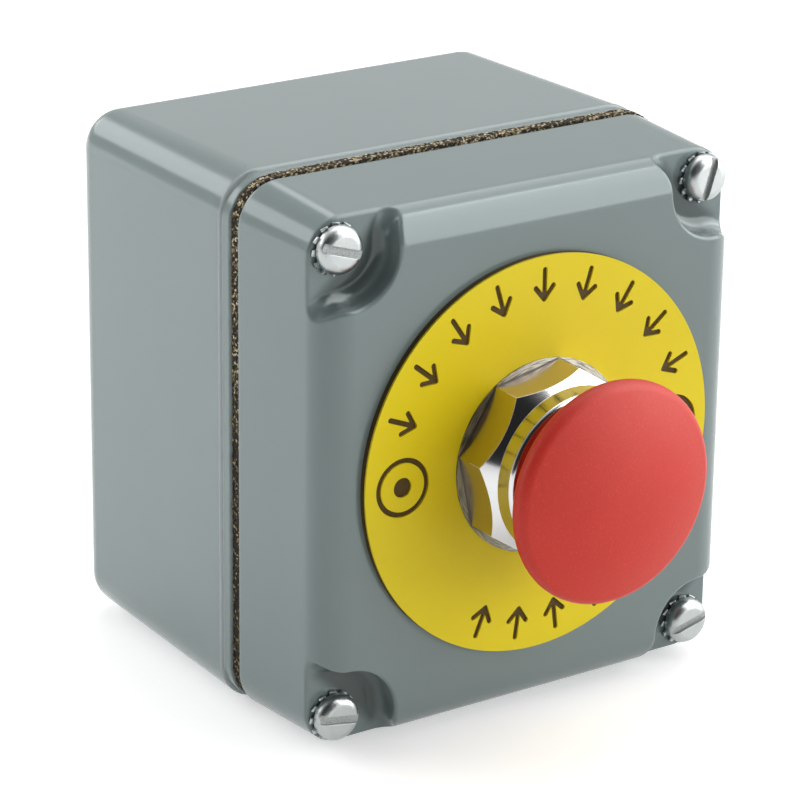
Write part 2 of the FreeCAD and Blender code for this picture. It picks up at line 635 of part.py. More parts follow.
def mirror_body(body, role):
    """Repeat everything in the body on the other side of an origin plane."""
    doc.recompute()
    item = body.newObject("PartDesign::Mirrored", "mirrored")
    item.TransformMode = "Whole shape"
    item.MirrorPlane = (next(f for f in body.Origin.OriginFeatures if f.Role == role), [""])
    body.Tip = item


def ring(label, inner, outer, out, thick):
    """A flat ring on the actuator's axis."""
    body = new_body(label)
    sketch = sketch_on(body, "XZ_Plane", out=out)
    circle(sketch, "0", "0", outer)
    circle(sketch, "0", "0", inner)
    feature(body, "Pad", sketch, "ring", Length=thick)


# Actuator

def make_bezel_nut():
    body = new_body("bezel_nut")
    thread = "bushing_dia / 2 + thread_clearance"
    bore = "hub_dia / 2 + hub_clearance"
    corner = "(across_flats / 2 / cos(22.5 deg))"
    revolve(body, [
        (thread, PLATE_FRONT), (corner, PLATE_FRONT), (corner, f"{SHOULDER} - cone_rise"),
        ("neck_dia / 2", SHOULDER),
        ("neck_front_dia / 2", f"{NECK_FRONT} - neck_round", "neck_round", -1),
        ("neck_front_dia / 2 - neck_round", NECK_FRONT), (bore, NECK_FRONT), (bore, WIPER_FRONT),
        (thread, WIPER_FRONT),
    ])
    waste = sketch_on(body, "XZ_Plane", out=PLATE_FRONT)
    circle(waste, "0", "0", "flange_dia")
    turns = [f"((nut_turn + 22.5 + 45 * {step}) * 1 deg)" for step in range(8)]
    outline(waste, [(f"{corner} * cos{turn}", f"{corner} * sin{turn}") for turn in turns])
    flats = feature(body, "Pocket", waste, "flats", Length="nut_height")
    flats.Reversed = True
    edge = f"{PLATE_FRONT} + flange_edge"
    revolve(body, [
        ("neck_dia / 2", PLATE_FRONT), ("flange_dia / 2", PLATE_FRONT), ("flange_dia / 2", edge),
        ("neck_dia / 2", f"{edge} + (flange_dia - neck_dia) / 2 * tan(flange_slope * 1 deg)"),
    ])


def make_bushing():
    body = new_body("actuator_bushing")
    bore, shaft = "hub_dia / 2 + hub_clearance", "shaft_dia / 2 + shaft_clearance"
    revolve(body, [
        (shaft, BARREL_BACK), ("barrel_dia / 2", BARREL_BACK), ("barrel_dia / 2", COLLAR_BACK),
        ("collar_dia / 2", COLLAR_BACK), ("collar_dia / 2", COLLAR_FRONT), ("bushing_dia / 2", COLLAR_FRONT),
        ("bushing_dia / 2", BUSHING_FRONT), (bore, BUSHING_FRONT), (bore, BORE_END), (shaft, BORE_END),
    ])
    slots = sketch_on(body, "XY_Plane")
    half = "(detent_wire / 2 + detent_clearance)"
    for side in (-1, 1):
        left, right = f"{side} * {LEG_X} - {half}", f"{side} * {LEG_X} + {half}"
        low, high = f"-{DETENT} - {half}", f"-{DETENT} + {half}"
        outline(slots, [(left, low), (right, low), (right, high), (left, high)])
    through = feature(body, "Pocket", slots, "detent_slots", Length="2 * barrel_dia")
    through.Midplane = True
    holes = sketch_on(body, "XZ_Plane", out=BARREL_BACK)
    for level in (-1, 1):
        circle(holes, "0", f"{level} * mount_screw_z", "mount_screw_dia / 2 + thread_clearance")
    tapped = feature(body, "Pocket", holes, "mount_holes", Length="mount_screw_grip + stop_clearance")
    tapped.Reversed = True


def make_detent_spring():
    body = new_body("detent_spring")
    reach = "(barrel_dia / 2)"
    path = sketch_on(body, "XZ_Plane", out=DETENT)
    wire = [(LEG_X, reach), (LEG_X, f"-{reach}"), (f"-{LEG_X}", f"-{reach}"), (f"-{LEG_X}", reach)]
    spots = [Vector(value(x), value(z), 0) for x, z in wire]
    path.addGeometry(Part.LineSegment(spots[0], spots[1]), False)
    bow = arc_middle(spots[1], spots[2], value(LEG_X), -1)
    path.addGeometry(Part.Arc(spots[1], bow, spots[2]), False)
    path.addGeometry(Part.LineSegment(spots[2], spots[3]), False)
    for place, (x, z) in zip(((0, 1), (0, 2), (2, 1), (2, 2)), wire):
        constrain(path, "DistanceX", place, x)
        constrain(path, "DistanceY", place, z)
    path.addConstraint(Sketcher.Constraint("Coincident", 0, 2, 1, 2))
    path.addConstraint(Sketcher.Constraint("Coincident", 1, 1, 2, 1))
    constrain(path, "DistanceY", (1, 3), f"-{reach}")
    section = circle(sketch_on(body, "XY_Plane", "0", "0", reach), LEG_X, f"-{DETENT}", "detent_wire / 2")
    doc.recompute()
    bent = body.newObject("PartDesign::AdditivePipe", "hairpin")
    bent.Profile = section
    bent.Spine = (path, ["Edge1", "Edge2", "Edge3"])


def make_mushroom():
    body = new_body("mushroom_head")
    across, rise = "(button_dia / 2 - rim_height)", "(button_height - rim_height)"
    dome = f"(({across}^2 + {rise}^2 - rim_height^2) / (2 * ({rise} - rim_height)))"
    share = f"(rim_height / ({dome} - rim_height))"
    stud = "stud_dia / 2 + thread_clearance"
    blind = f"{HUB_BACK} + stud_length + stop_clearance"
    inner = f"{across} - button_land"
    revolve(body, [
        (stud, HUB_BACK), ("hub_dia / 2", HUB_BACK), ("hub_dia / 2", f"{BUTTON_BACK} + button_hollow"),
        (inner, f"{BUTTON_BACK} + button_hollow"), (inner, BUTTON_BACK),
        (across, BUTTON_BACK, "rim_height", -1),
        (f"{across} * (1 + {share})", f"{BUTTON_BACK} + rim_height + ({dome} - {rise}) * {share}", dome, -1),
        ("0", BUTTON_CROWN), ("0", blind), (stud, blind),
    ])


def make_shaft():
    body = new_body("plunger_shaft")
    radius, tail = "(shaft_dia / 2)", "(tail_dia / 2)"
    floor = "(detent_wire / 2 + detent_clearance)"
    root = f"{radius} - detent_depth"
    clip_back = f"{PRESS_BACK} - clip_thick - thread_clearance"
    end = f"{clip_back} - clip_thick"
    grooves = []
    for place in (DETENT, f"({DETENT} + travel)"):
        grooves += [(radius, f"{place} - {floor} - detent_depth"), (root, f"{place} - {floor}"),
                    (root, f"{place} + {floor}"), (radius, f"{place} + {floor} + detent_depth")]
    revolve(body, [
        ("0", end), (tail, end), (tail, clip_back), (f"{tail} - clip_groove", clip_back),
        (f"{tail} - clip_groove", PRESS_BACK), (tail, PRESS_BACK), (tail, PRESS_FRONT),
        (radius, PRESS_FRONT), *grooves, (radius, HUB_BACK), ("stud_dia / 2", HUB_BACK),
        ("stud_dia / 2", f"{HUB_BACK} + stud_length"), ("0", f"{HUB_BACK} + stud_length"),
    ])


def make_pressure_plate():
    body = new_body("pressure_plate")
    sketch = sketch_on(body, "XZ_Plane", out=PRESS_BACK)
    rounded_rectangle(sketch, PRESS_WIDTH, "press_height", "press_round")
    circle(sketch, "0", "0", "tail_dia / 2 + thread_clearance")
    feature(body, "Pad", sketch, "plate", Length="press_thick")


def make_clip():
    inner = "(tail_dia / 2 - clip_groove + thread_clearance)"
    back = f"{PRESS_BACK} - clip_thick"
    disc = rod("clip_dia / 2", "clip_thick", out=back)
    hole = rod(inner, "clip_thick", out=back)
    mouth = block(f"2 * {inner}", "clip_thick", "clip_dia", out=back, z="-clip_dia / 2")
    node(cut(disc, [hole, mouth]), "retaining_clip")


# Contact blocks

def make_contact_mount():
    body = new_body("contact_mount")
    plan = sketch_on(body, "XZ_Plane", out=BLOCK_FRONT)
    rounded_rectangle(plan, "mount_width", "mount_height", "press_round")
    rounded_rectangle(plan, f"{PRESS_WIDTH} + 2 * window_margin", "press_height + 2 * window_margin",
                      "press_round")
    feature(body, "Pad", plan, "frame", Length="mount_depth")
    through = sketch_on(body, "XZ_Plane", out=BLOCK_FRONT)
    sunk = sketch_on(body, "XZ_Plane", out=BLOCK_FRONT)
    tapped = sketch_on(body, "XZ_Plane", out=BLOCK_FRONT)
    for level in (-1, 1):
        z = f"{level} * mount_screw_z"
        circle(through, "0", z, "mount_screw_dia / 2 + hole_clearance")
        circle(sunk, "0", z, "small_head_dia / 2 + hole_clearance")
    for side, level in CORNERS:
        circle(tapped, f"{side} * block_screw_x", f"{level} * block_screw_z",
               "mount_screw_dia / 2 + thread_clearance")
    for sketch, name, depth in ((through, "screw_holes", "mount_depth"),
                                (sunk, "counterbores", "small_head_height + stop_clearance"),
                                (tapped, "tapped_holes", "block_screw_grip + stop_clearance")):
        feature(body, "Pocket", sketch, name, Length=depth).Reversed = True


def turned_screws(label, places, thread, tip, head, seat, top):
    """Screws whose heads face the wall: thread radius to the tip, head radius between seat and top."""
    body = new_body(label)
    profile = [("0", top), (head, top), (head, seat), (thread, seat), (thread, tip), ("0", tip)]
    for x, z in places:
        revolve(body, profile, x, z)


def make_block_screws():
    turned_screws("mount_screws", [("0", f"{level} * mount_screw_z") for level in (-1, 1)],
                  "mount_screw_dia / 2", f"{BARREL_BACK} + mount_screw_grip", "small_head_dia / 2",
                  f"{BLOCK_FRONT} + small_head_height + stop_clearance", f"{BLOCK_FRONT} + stop_clearance")
    turned_screws("block_screws",
                  [(f"{side} * block_screw_x", f"{level} * block_screw_z") for side, level in CORNERS],
                  "mount_screw_dia / 2", f"{BLOCK_FRONT} + block_screw_grip", "small_head_dia / 2",
                  BLOCK_BACK, f"{BLOCK_BACK} - small_head_height")


def rectangle(sketch, x, z, width, height):
    """A plain rectangle centred on x, z."""
    spots = ((-1, -1), (1, -1), (1, 1), (-1, 1))
    return outline(sketch, [(f"{x} + {i} * ({width}) / 2", f"{z} + {j} * ({height}) / 2") for i, j in spots])


def make_contact_block(hand, side):
    """One normally closed contact block: housing, lid, fixed and moving contacts, spring, terminals."""
    x = f"({side} * plunger_x)"
    middle = f"({side} * (block_gap + block_width) / 2)"
    core_length = f"({CHAMBER_LENGTH} + 2 * block_wall)"
    wall_z = f"(({CHAMBER_LENGTH} + block_wall) / 2)"
    screws = [(f"{side} * block_screw_x", f"{level} * block_screw_z") for level in (-1, 1)]

    housing = new_body(f"{hand}_contact_housing")
    ledges = rectangle(sketch_on(housing, "XZ_Plane", out=LEDGE), middle, "0", "block_width", "block_length")
    feature(housing, "Pad", ledges, "ledges", Length="terminal_step")
    core = rectangle(sketch_on(housing, "XZ_Plane", out=LID_FRONT), middle, "0", "block_width", core_length)
    feature(housing, "Pad", core, "core", Length=f"{BLOCK_FRONT} - {LID_FRONT}")
    chamber = rectangle(sketch_on(housing, "XZ_Plane", out=LID_FRONT), x, "0", "chamber_width",
                        CHAMBER_LENGTH)
    feature(housing, "Pocket", chamber, "chamber",
            Length=f"{BLOCK_FRONT} - block_wall - {LID_FRONT}").Reversed = True
    bores = circle(sketch_on(housing, "XZ_Plane", out=LID_FRONT), x, "0",
                   "plunger_dia / 2 + plunger_clearance")
    for place in screws:
        circle(bores, *place, "mount_screw_dia / 2 + hole_clearance")
    feature(housing, "Pocket", bores, "bores", Length=f"{BLOCK_FRONT} - {LID_FRONT}").Reversed = True
    slots = sketch_on(housing, "XZ_Plane", out=LEDGE)
    tapped = sketch_on(housing, "XZ_Plane", out=LEDGE)
    for level in (-1, 1):
        rectangle(slots, x, f"{level} * {wall_z}", "strip_width + 2 * slot_clearance", "block_wall")
        circle(tapped, x, f"{level} * {TERMINAL_Z}", "terminal_dia / 2 + thread_clearance")
    feature(housing, "Pocket", slots, "strip_slots", Length="strip_thick + slot_clearance")
    feature(housing, "Pocket", tapped, "terminal_holes", Length="terminal_length").Reversed = True

    lid = new_body(f"{hand}_contact_lid")
    plan = rectangle(sketch_on(lid, "XZ_Plane", out=BLOCK_BACK), middle, "0", "block_width", core_length)
    for place in screws:
        circle(plan, *place, "mount_screw_dia / 2 + hole_clearance")
    feature(lid, "Pad", plan, "plate", Length="lid_thick")

    strips = new_body(f"{hand}_fixed_contacts")
    plates = sketch_on(strips, "XZ_Plane", out=STRIP_BACK)
    rivets = sketch_on(strips, "XZ_Plane", out=STRIP_BACK)
    clamps = new_body(f"{hand}_terminal_clamps")
    saddles = sketch_on(clamps, "XZ_Plane", out=f"{STRIP_BACK} - clamp_thick")
    length = f"(block_length / 2 - strip_end - {STRIP_INNER})"
    for level in (-1, 1):
        rectangle(plates, x, f"{level} * ({STRIP_INNER} + {length} / 2)", "strip_width", length)
        circle(plates, x, f"{level} * {TERMINAL_Z}", "terminal_dia / 2 + hole_clearance")
        circle(rivets, x, f"{level} * {RIVET_Z}", "rivet_dia / 2")
        rectangle(saddles, x, f"{level} * {TERMINAL_Z}", "clamp_size", "clamp_size")
        circle(saddles, x, f"{level} * {TERMINAL_Z}", "terminal_dia / 2 + hole_clearance")
    feature(strips, "Pad", plates, "strips", Length="strip_thick")
    feature(strips, "Pad", rivets, "rivets", Length="rivet_thick").Reversed = True
    feature(clamps, "Pad", saddles, "saddles", Length="clamp_thick")
    turned_screws(f"{hand}_terminal_screws", [(x, f"{level} * {TERMINAL_Z}") for level in (-1, 1)],
                  "terminal_dia / 2", f"{LEDGE} + terminal_length - stop_clearance", "terminal_head_dia / 2",
                  f"{STRIP_BACK} - clamp_thick", f"{STRIP_BACK} - clamp_thick - terminal_head_height")

    plunger = new_body(f"{hand}_contact_plunger")
    tip = f"{PRESS_BACK} - tip_gap"
    guide = f"{PLUNGER_BACK} - guide_length"
    revolve(plunger, [("0", guide), ("guide_dia / 2", guide), ("guide_dia / 2", PLUNGER_BACK),
                      ("plunger_dia / 2", PLUNGER_BACK), ("plunger_dia / 2", tip), ("0", tip)], x)
    window = sketch_on(plunger, "XY_Plane")
    sides = [f"{x} + {edge} * (bridge_width / 2 + slot_clearance)" for edge in (-1, 1)]
    ends = [f"-({BRIDGE_FRONT} + slot_clearance)", f"-({BRIDGE_BACK} - slot_clearance)"]
    outline(window, [(sides[0], ends[0]), (sides[1], ends[0]), (sides[1], ends[1]), (sides[0], ends[1])])
    feature(plunger, "Pocket", window, "bridge_window", Length="2 * plunger_dia").Midplane = True

    bridge = new_body(f"{hand}_contact_bridge")
    bar = rectangle(sketch_on(bridge, "XZ_Plane", out=BRIDGE_BACK), x, "0", "bridge_width",
                    f"2 * {RIVET_Z} + 2 * rivet_dia")
    feature(bridge, "Pad", bar, "bar", Length="bridge_thick")
    tips = sketch_on(bridge, "XZ_Plane", out=BRIDGE_FRONT)
    for level in (-1, 1):
        circle(tips, x, f"{level} * {RIVET_Z}", "rivet_dia / 2")
    feature(bridge, "Pad", tips, "rivets", Length="rivet_thick")

    spring = new_body(f"{hand}_contact_spring")
    start = f"{LID_FRONT} + spring_wire / 2 + spring_seat"
    section = circle(sketch_on(spring, "XY_Plane", x), "spring_dia / 2", f"-({start})", "spring_wire / 2")
    coil = spring.newObject("PartDesign::AdditiveHelix", "coil")
    coil.Profile = section
    coil.ReferenceAxis = (section, ["V_Axis"])
    coil.Mode = "height-turns-angle"
    coil.Reversed = True
    tie(coil, Height=f"{PLUNGER_BACK} - {LID_FRONT} - spring_wire - 2 * spring_seat", Turns="spring_turns")


def make_earth_terminal():
    boss = "base_floor + earth_boss_height"
    washer = f"{boss} + earth_washer_thick"
    top = f"{washer} + earth_head_height"
    tip = f"{boss} - earth_screw_length"
    disc = rod("earth_washer_dia / 2", "earth_washer_thick", EARTH_X, boss)
    hole = rod("earth_screw_dia / 2 + hole_clearance", "earth_washer_thick", EARTH_X, boss)
    node(cut(disc, [hole]), "earth_washer")
    screw = new_body("earth_screw")
    revolve(screw, [("0", tip), ("earth_screw_dia / 2", tip), ("earth_screw_dia / 2", washer),
                    ("earth_head_dia / 2", washer), ("earth_head_dia / 2", top), ("0", top)], EARTH_X)


make_base()
make_cover()
make_gasket()
make_cover_screws()
make_lock_washers()
ring("legend_core", "bushing_dia / 2 + panel_clearance", "plate_dia / 2", FACE, "core_thick")
ring("legend_face", "bushing_dia / 2 + panel_clearance", "plate_dia / 2", f"{FACE} + core_thick",
     "skin_thick")
make_bezel_nut()
ring("wiper_ring", "hub_dia / 2 + wiper_clearance", "bushing_dia / 2", BUSHING_FRONT, "wiper_thick")
ring("panel_seal", "bushing_dia / 2 + panel_clearance", "collar_dia / 2", COLLAR_FRONT, "seal_thick")
make_bushing()
make_detent_spring()
make_mushroom()
make_shaft()
make_pressure_plate()
make_clip()
make_contact_mount()
make_block_screws()
for hand, side in (("left", -1), ("right", 1)):
    make_contact_block(hand, side)
make_earth_terminal()

doc.recompute()
for item in doc.Objects:
    if {"Invalid", "Error"} & set(item.State):
        raise RuntimeError(f"{item.Label} did not build: {item.State}")
for item in nodes:
    if item.Shape.isNull() or not item.Shape.isValid() or not item.Shape.Solids:
        raise RuntimeError(f"{item.Label} has no sound solid")
os.makedirs("parts", exist_ok=True)
for item in nodes:
    item.Shape.exportStep(f"parts/{item.Label}.step")
    print(f"{item.Label}: {len(item.Shape.Solids)} solid(s), {item.Shape.Volume:.1f} mm3")
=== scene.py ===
import json
import math

import bmesh
import bpy
from mathutils import Matrix, Vector, noise


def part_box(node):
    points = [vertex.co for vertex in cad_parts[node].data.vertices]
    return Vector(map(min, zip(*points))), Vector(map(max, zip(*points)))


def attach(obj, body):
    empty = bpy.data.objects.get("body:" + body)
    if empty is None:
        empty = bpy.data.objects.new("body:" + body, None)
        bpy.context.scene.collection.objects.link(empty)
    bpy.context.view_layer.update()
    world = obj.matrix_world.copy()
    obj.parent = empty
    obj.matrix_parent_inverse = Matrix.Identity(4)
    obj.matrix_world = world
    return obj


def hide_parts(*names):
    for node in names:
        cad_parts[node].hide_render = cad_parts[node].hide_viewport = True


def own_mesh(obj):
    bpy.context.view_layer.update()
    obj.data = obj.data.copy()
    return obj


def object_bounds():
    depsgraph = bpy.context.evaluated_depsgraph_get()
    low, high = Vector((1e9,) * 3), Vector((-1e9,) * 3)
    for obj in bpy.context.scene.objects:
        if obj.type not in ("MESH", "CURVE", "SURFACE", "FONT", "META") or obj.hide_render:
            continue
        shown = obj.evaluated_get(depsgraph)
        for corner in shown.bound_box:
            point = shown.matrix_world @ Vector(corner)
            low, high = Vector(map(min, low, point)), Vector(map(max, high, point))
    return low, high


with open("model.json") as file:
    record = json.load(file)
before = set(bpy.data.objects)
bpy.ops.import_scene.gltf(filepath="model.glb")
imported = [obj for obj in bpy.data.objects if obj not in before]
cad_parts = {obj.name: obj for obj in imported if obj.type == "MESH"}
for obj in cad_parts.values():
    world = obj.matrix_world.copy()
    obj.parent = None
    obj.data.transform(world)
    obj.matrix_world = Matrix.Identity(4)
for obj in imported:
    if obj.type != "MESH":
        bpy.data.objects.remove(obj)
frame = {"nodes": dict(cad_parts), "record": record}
cad_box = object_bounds()

# Emergency stop station: the looks of its pieces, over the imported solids. Metres throughout.
# The wall plane is y = 0, the operator stands towards -Y, and the button's axis is the Y axis.
# A pair of numbers for a change over a surface says where it begins and where it is complete.

MM = 0.001

# View of the photograph
VIEW_AZIMUTH, VIEW_ELEVATION, VIEW_ROLL = -34.2, 20.67, 0.75
VIEW_PLACE = Vector((-0.35312, -0.56024, 0.23324))
VIEW_LENS = 164.3
SENSOR_WIDTH = 36.0

# Legend plate: the engraved arrows and ringed dots, and the plate's bore
STROKE = 0.98 * MM
BAND_INNER, BAND_OUTER = 28.2 * MM, 34.5 * MM
BARB_LENGTH, BARB_ANGLE = 2.9 * MM, math.radians(40)
TOP_MARKS, TOP_STEP = 9, math.radians(17)
LOW_MARKS, LOW_STEP = 4, math.radians(15)
RING_PLACE, RING_RADIUS, RING_DOT = 28.9 * MM, 5.4 * MM, 1.8 * MM
PLATE_BORE = 13.8 * MM
RIM_STEPS, BORE_STEPS, RING_STEPS = 192, 96, 48
TAIL_STEPS, BARB_STEPS, TIP_STEPS = 6, 10, 4

# Nut: its octagon, its flange's edge, the slope the flange was packed with and the lower slope it shows
NUT_FLAT, NUT_TURN, NUT_STEP = 16.35 * MM, math.radians(12), math.radians(22.5)
FLANGE_EDGE, PACKED_SLOPE, FLANGE_SLOPE = 0.25 * MM, math.radians(32), math.radians(8)
FLANGE_TOLERANCE = 0.04 * MM

# Nut's finish: the flange by its height, its painted light by X and its painted shade by distance from the
# flats, the rest, and the painted edge highlights, by height
FLANGE_SKIN, FLANGE_PAINTED_LIGHT, FLANGE_FOOT = (0.10 * MM, 0.03 * MM), (-16 * MM, -5 * MM), (0.34 * MM, 0.1 * MM)
FLATS_FRONT, EDGES_BACK = (8.8 * MM, 8.5 * MM), (3 * MM, 4 * MM)
STREAKS_ROUND, STREAK_WIDTH = 7.0, 0.16 * MM

# Gasket, which sits a little off centre, and its crumbly edge, which bulges most in the middle of the top;
# the cork's grain, and its painted shade lower down, by Z
GASKET_CORNER, GASKET_WIDTH = 7.8 * MM, 3.2 * MM
GASKET_SLIP = Vector((0.45 * MM, 0.05 * MM))
CRUMB_STEP, CRUMB_ROWS = 0.3 * MM, 8
CRUMB_SIZE, CRUMB_REACH, CRUMB_RISE = 0.45 * MM, 0.12 * MM, 0.35 * MM
WAVE_SIZE, WAVE_SHARE, GRAIN_SHARE = 2.2 * CRUMB_SIZE, 0.8, 0.9
CORK_GRAIN, CORK_PAINTED_SHADE = 0.42 * MM, (34 * MM, -12 * MM)

# Enamel's grime at the joint and the painted highlight line on the base's lip, by Y, and the side where that
# painted highlight is strongest, by X
JOINT_BACK, JOINT_FRONT = (-53.4 * MM, -54.3 * MM), (-57.6 * MM, -56.9 * MM)
LIP_BACK, LIP_FRONT = (-51.0 * MM, -51.5 * MM), (-52.2 * MM, -51.8 * MM)
LIP_HIGHLIGHT_SIDE = (-38 * MM, -43 * MM)
SPECK_STEP = 9 * MM

# Screw pockets' painted shade, by distance from a screw's axis and by Y
POCKET_INWARD, POCKET_REACH = (-2.5 * MM, -6.5 * MM), (10.2 * MM, 8.3 * MM)
POCKET_FRONT = (-81.5 * MM, -79.0 * MM)

# Cover screws: their heads' radius, and the floors and walls of their slots, by Y
SCREW_HEAD = 4.25 * MM
SLOT_FLOOR, SLOT_WALL = (-79.9 * MM, -79.85 * MM), (-79.7 * MM, -79.85 * MM)

# Toothed washers, slack on their screws
WASHER_RIM = 4.8 * MM
WASHER_TEETH = 12
WASHER_SHEET, WASHER_EDGE, WASHER_LIFT = 0.45 * MM, 0.08 * MM, 0.05 * MM
WASHER_BORE, WASHER_ROOT, WASHER_TIP = 2.8 * MM, 3.5 * MM, 4.65 * MM
TOOTH_HALF, TOOTH_TWIST = 0.65 * MM, math.radians(30)
WASHER_SLIP = Vector((-0.15 * MM, -0.08 * MM))

# Thread in the cable entry, with its profile as shares of its height and pitch
ENTRY_OUT, ENTRY_RADIUS = 26.0 * MM, 10.0 * MM
THREAD_PITCH, THREAD_HEIGHT = 1.5 * MM, 0.75 * MM
THREAD_START, THREAD_TURNS, THREAD_STEPS = -48.3 * MM, 5, 48
THREAD_PROFILE = ((-0.15, -0.55), (1.0, -0.1), (1.0, 0.1), (-0.15, 0.55))
THREAD_SUNK, THREAD_FADE = -0.1, 12

# Floor, and how far it is lifted towards white under the box and away from it
FLOOR_EDGE = 6.0
FLOOR_LIFT, FAR_LIFT, FLOOR_FADE = 0.45, 0.9, (0.7, 2.0)

# Studio walls: the light they give, what shiny pieces see of them, and the side that is left dark
WALL_LIGHT, WALL_MIRROR = 0.45, 0.8
UNLIT_SIDE, UNLIT_SHARE, UNLIT_FADE = (-0.56, -0.80, 0.20), 0.97, (0.1, 0.65)

# Samples for the soft look of sharp edges
EASE_SAMPLES = 6


class Value:
    """A number or colour that changes over a surface. Arithmetic on numbers adds Math nodes."""

    def __init__(self, nodes, socket):
        self.nodes = nodes
        self.socket = socket

    def __add__(self, other):
        return self.nodes.maths("ADD", self, other)

    def __sub__(self, other):
        return self.nodes.maths("SUBTRACT", self, other)

    def __rsub__(self, other):
        return self.nodes.maths("SUBTRACT", other, self)

    def __mul__(self, other):
        return self.nodes.maths("MULTIPLY", self, other)

    __radd__, __rmul__ = __add__, __mul__

    def step(self, low, high):
        """0 at low, 1 at high and smooth between; low may be the larger."""
        ends = {"Value": self, "From Min": low, "From Max": high}
        return self.nodes.node("ShaderNodeMapRange", {"interpolation_type": "SMOOTHSTEP"}, ends)


class Nodes:
    """A node tree under construction."""

    def __init__(self, tree):
        self.tree = tree

    def feed(self, socket, source):
        """Link a value to a socket, or set the socket to a number or colour."""
        if isinstance(source, Value):
            self.tree.links.new(source.socket, socket)
        elif socket.type == "RGBA" and len(source) == 3:
            socket.default_value = (*source, 1.0)
        else:
            socket.default_value = source

    def node(self, kind, settings=None, inputs=None, output=0):
        """Add a node: its settings first, then what goes into its sockets."""
        node = self.tree.nodes.new(kind)
        for name, setting in (settings or {}).items():
            if name == "stops":
                for _ in setting[2:]:
                    node.color_ramp.elements.new(0.5)
                for stop, (place, colour) in zip(node.color_ramp.elements, setting):
                    stop.position = place
                    stop.color = (*colour, 1.0)
            else:
                setattr(node, name, setting)
        for socket, source in (inputs or {}).items():
            self.feed(node.inputs[socket], source)
        return Value(self, node.outputs[output])

    def maths(self, operation, *sources):
        """A Math node on numbers."""
        return self.node("ShaderNodeMath", {"operation": operation}, dict(enumerate(sources)))

    def mix(self, share, first, second):
        """A colour between two colours."""
        return self.node("ShaderNodeMix", {"data_type": "RGBA"}, {0: share, 6: first, 7: second}, 2)

    def agree(self, first, second):
        """1 where two directions are the same, 0 where they are square to each other."""
        return self.node("ShaderNodeVectorMath", {"operation": "DOT_PRODUCT"}, {0: first, 1: second}, "Value")

    def ray(self, kind):
        """1 for rays of one kind, such as those from the camera."""
        return self.node("ShaderNodeLightPath", output=f"Is {kind} Ray")

    def seen(self):
        """1 where the camera looks, straight or in a shiny or clear piece."""
        rays = self.ray("Camera") + self.ray("Glossy") + self.ray("Transmission")
        return self.maths("MINIMUM", rays, 1.0)


class Finish(Nodes):
    """A material round one Principled shader."""

    def __init__(self, name, settings):
        self.material = bpy.data.materials.new(name)
        self.material.use_nodes = True
        super().__init__(self.material.node_tree)
        self.shader = self.tree.nodes["Principled BSDF"]
        self.place = self.node("ShaderNodeTexCoord", output="Object")
        self.set(settings)

    def set(self, settings):
        """Give the shader's sockets numbers, colours or values."""
        for socket, source in settings.items():
            self.feed(self.shader.inputs[socket], source)

    def ramp(self, share, stops):
        """A colour picked from a row of stops."""
        return self.node("ShaderNodeValToRGB", {"stops": stops}, {0: share})

    def axis(self, name):
        """One coordinate of the place on the piece."""
        return self.node("ShaderNodeSeparateXYZ", None, {0: self.place}, name)

    def band(self, name, start, stop):
        """1 in a band across one coordinate, with a soft start and stop."""
        return self.axis(name).step(*start) * self.axis(name).step(*stop)

    def radius(self):
        """Distance from the button's axis."""
        across, up = self.axis("X"), self.axis("Z")
        return self.maths("SQRT", across * across + up * up)

    def turn(self):
        """Angle about the button's axis."""
        return self.maths("ARCTAN2", self.axis("Z"), self.axis("X"))

    def round_axis(self, stretch):
        """The place as a turn about the button's axis and a distance from it, in stretched units."""
        turn, away = self.turn() * stretch[0], self.radius() * stretch[1]
        return self.node("ShaderNodeCombineXYZ", None, {0: turn, 1: away})

    def stretched(self, stretch):
        """The place on the piece, scaled along each axis."""
        return self.node("ShaderNodeVectorMath", {"operation": "MULTIPLY"}, {0: self.place, 1: stretch})

    def way(self):
        """The way the surface faces."""
        return self.node("ShaderNodeNewGeometry", output="Normal")

    def eased(self, radius):
        """The way the surface faces, with sharp edges rounded over a radius."""
        return self.node("ShaderNodeBevel", {"samples": EASE_SAMPLES}, {"Radius": radius})

    def facing(self):
        """1 where the surface faces the operator, less as it turns away."""
        return self.agree(self.way(), (0.0, -1.0, 0.0))

    def edges(self, radius):
        """1 along sharp edges, within about a radius."""
        return self.agree(self.eased(radius), self.way()).step(0.995, 0.96)

    def noise(self, size, detail=2.0, place=None):
        """Soft blotches of about this size."""
        place = place or self.place
        return self.node("ShaderNodeTexNoise", None, {"Vector": place, "Scale": 1 / size, "Detail": detail})

    def cells(self, size, output="Distance"):
        """Round grains of about this size, as the distance from a grain's middle or its own colour."""
        return self.node("ShaderNodeTexVoronoi", None, {"Vector": self.place, "Scale": 1 / size}, output)

    def grain(self, size):
        """A different number for each grain."""
        return self.node("ShaderNodeSeparateColor", None, {0: self.cells(size, "Color")})

    def relief(self, height, depth, edge=None):
        """Bump the surface by a height from 0 to 1, depth metres deep, and ease edges over a radius."""
        inputs = {"Height": height, "Distance": depth}
        if edge:
            inputs["Normal"] = self.eased(edge)
        self.set({"Normal": self.node("ShaderNodeBump", None, inputs)})


# Finishes

def pocket_painted_shade(paint):
    """Painted shade: 1 in the cover's screw pockets, on the side of each screw towards the middle of the
    cover.
    """
    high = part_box("cover_screws")[1]
    aside = paint.maths("ABSOLUTE", paint.axis("X")) - (high.x - SCREW_HEAD)
    above = paint.maths("ABSOLUTE", paint.axis("Z")) - (high.z - SCREW_HEAD)
    away = paint.maths("SQRT", aside * aside + above * above)
    inward = (aside + above).step(*POCKET_INWARD)
    return inward * away.step(*POCKET_REACH) * paint.axis("Y").step(*POCKET_FRONT)


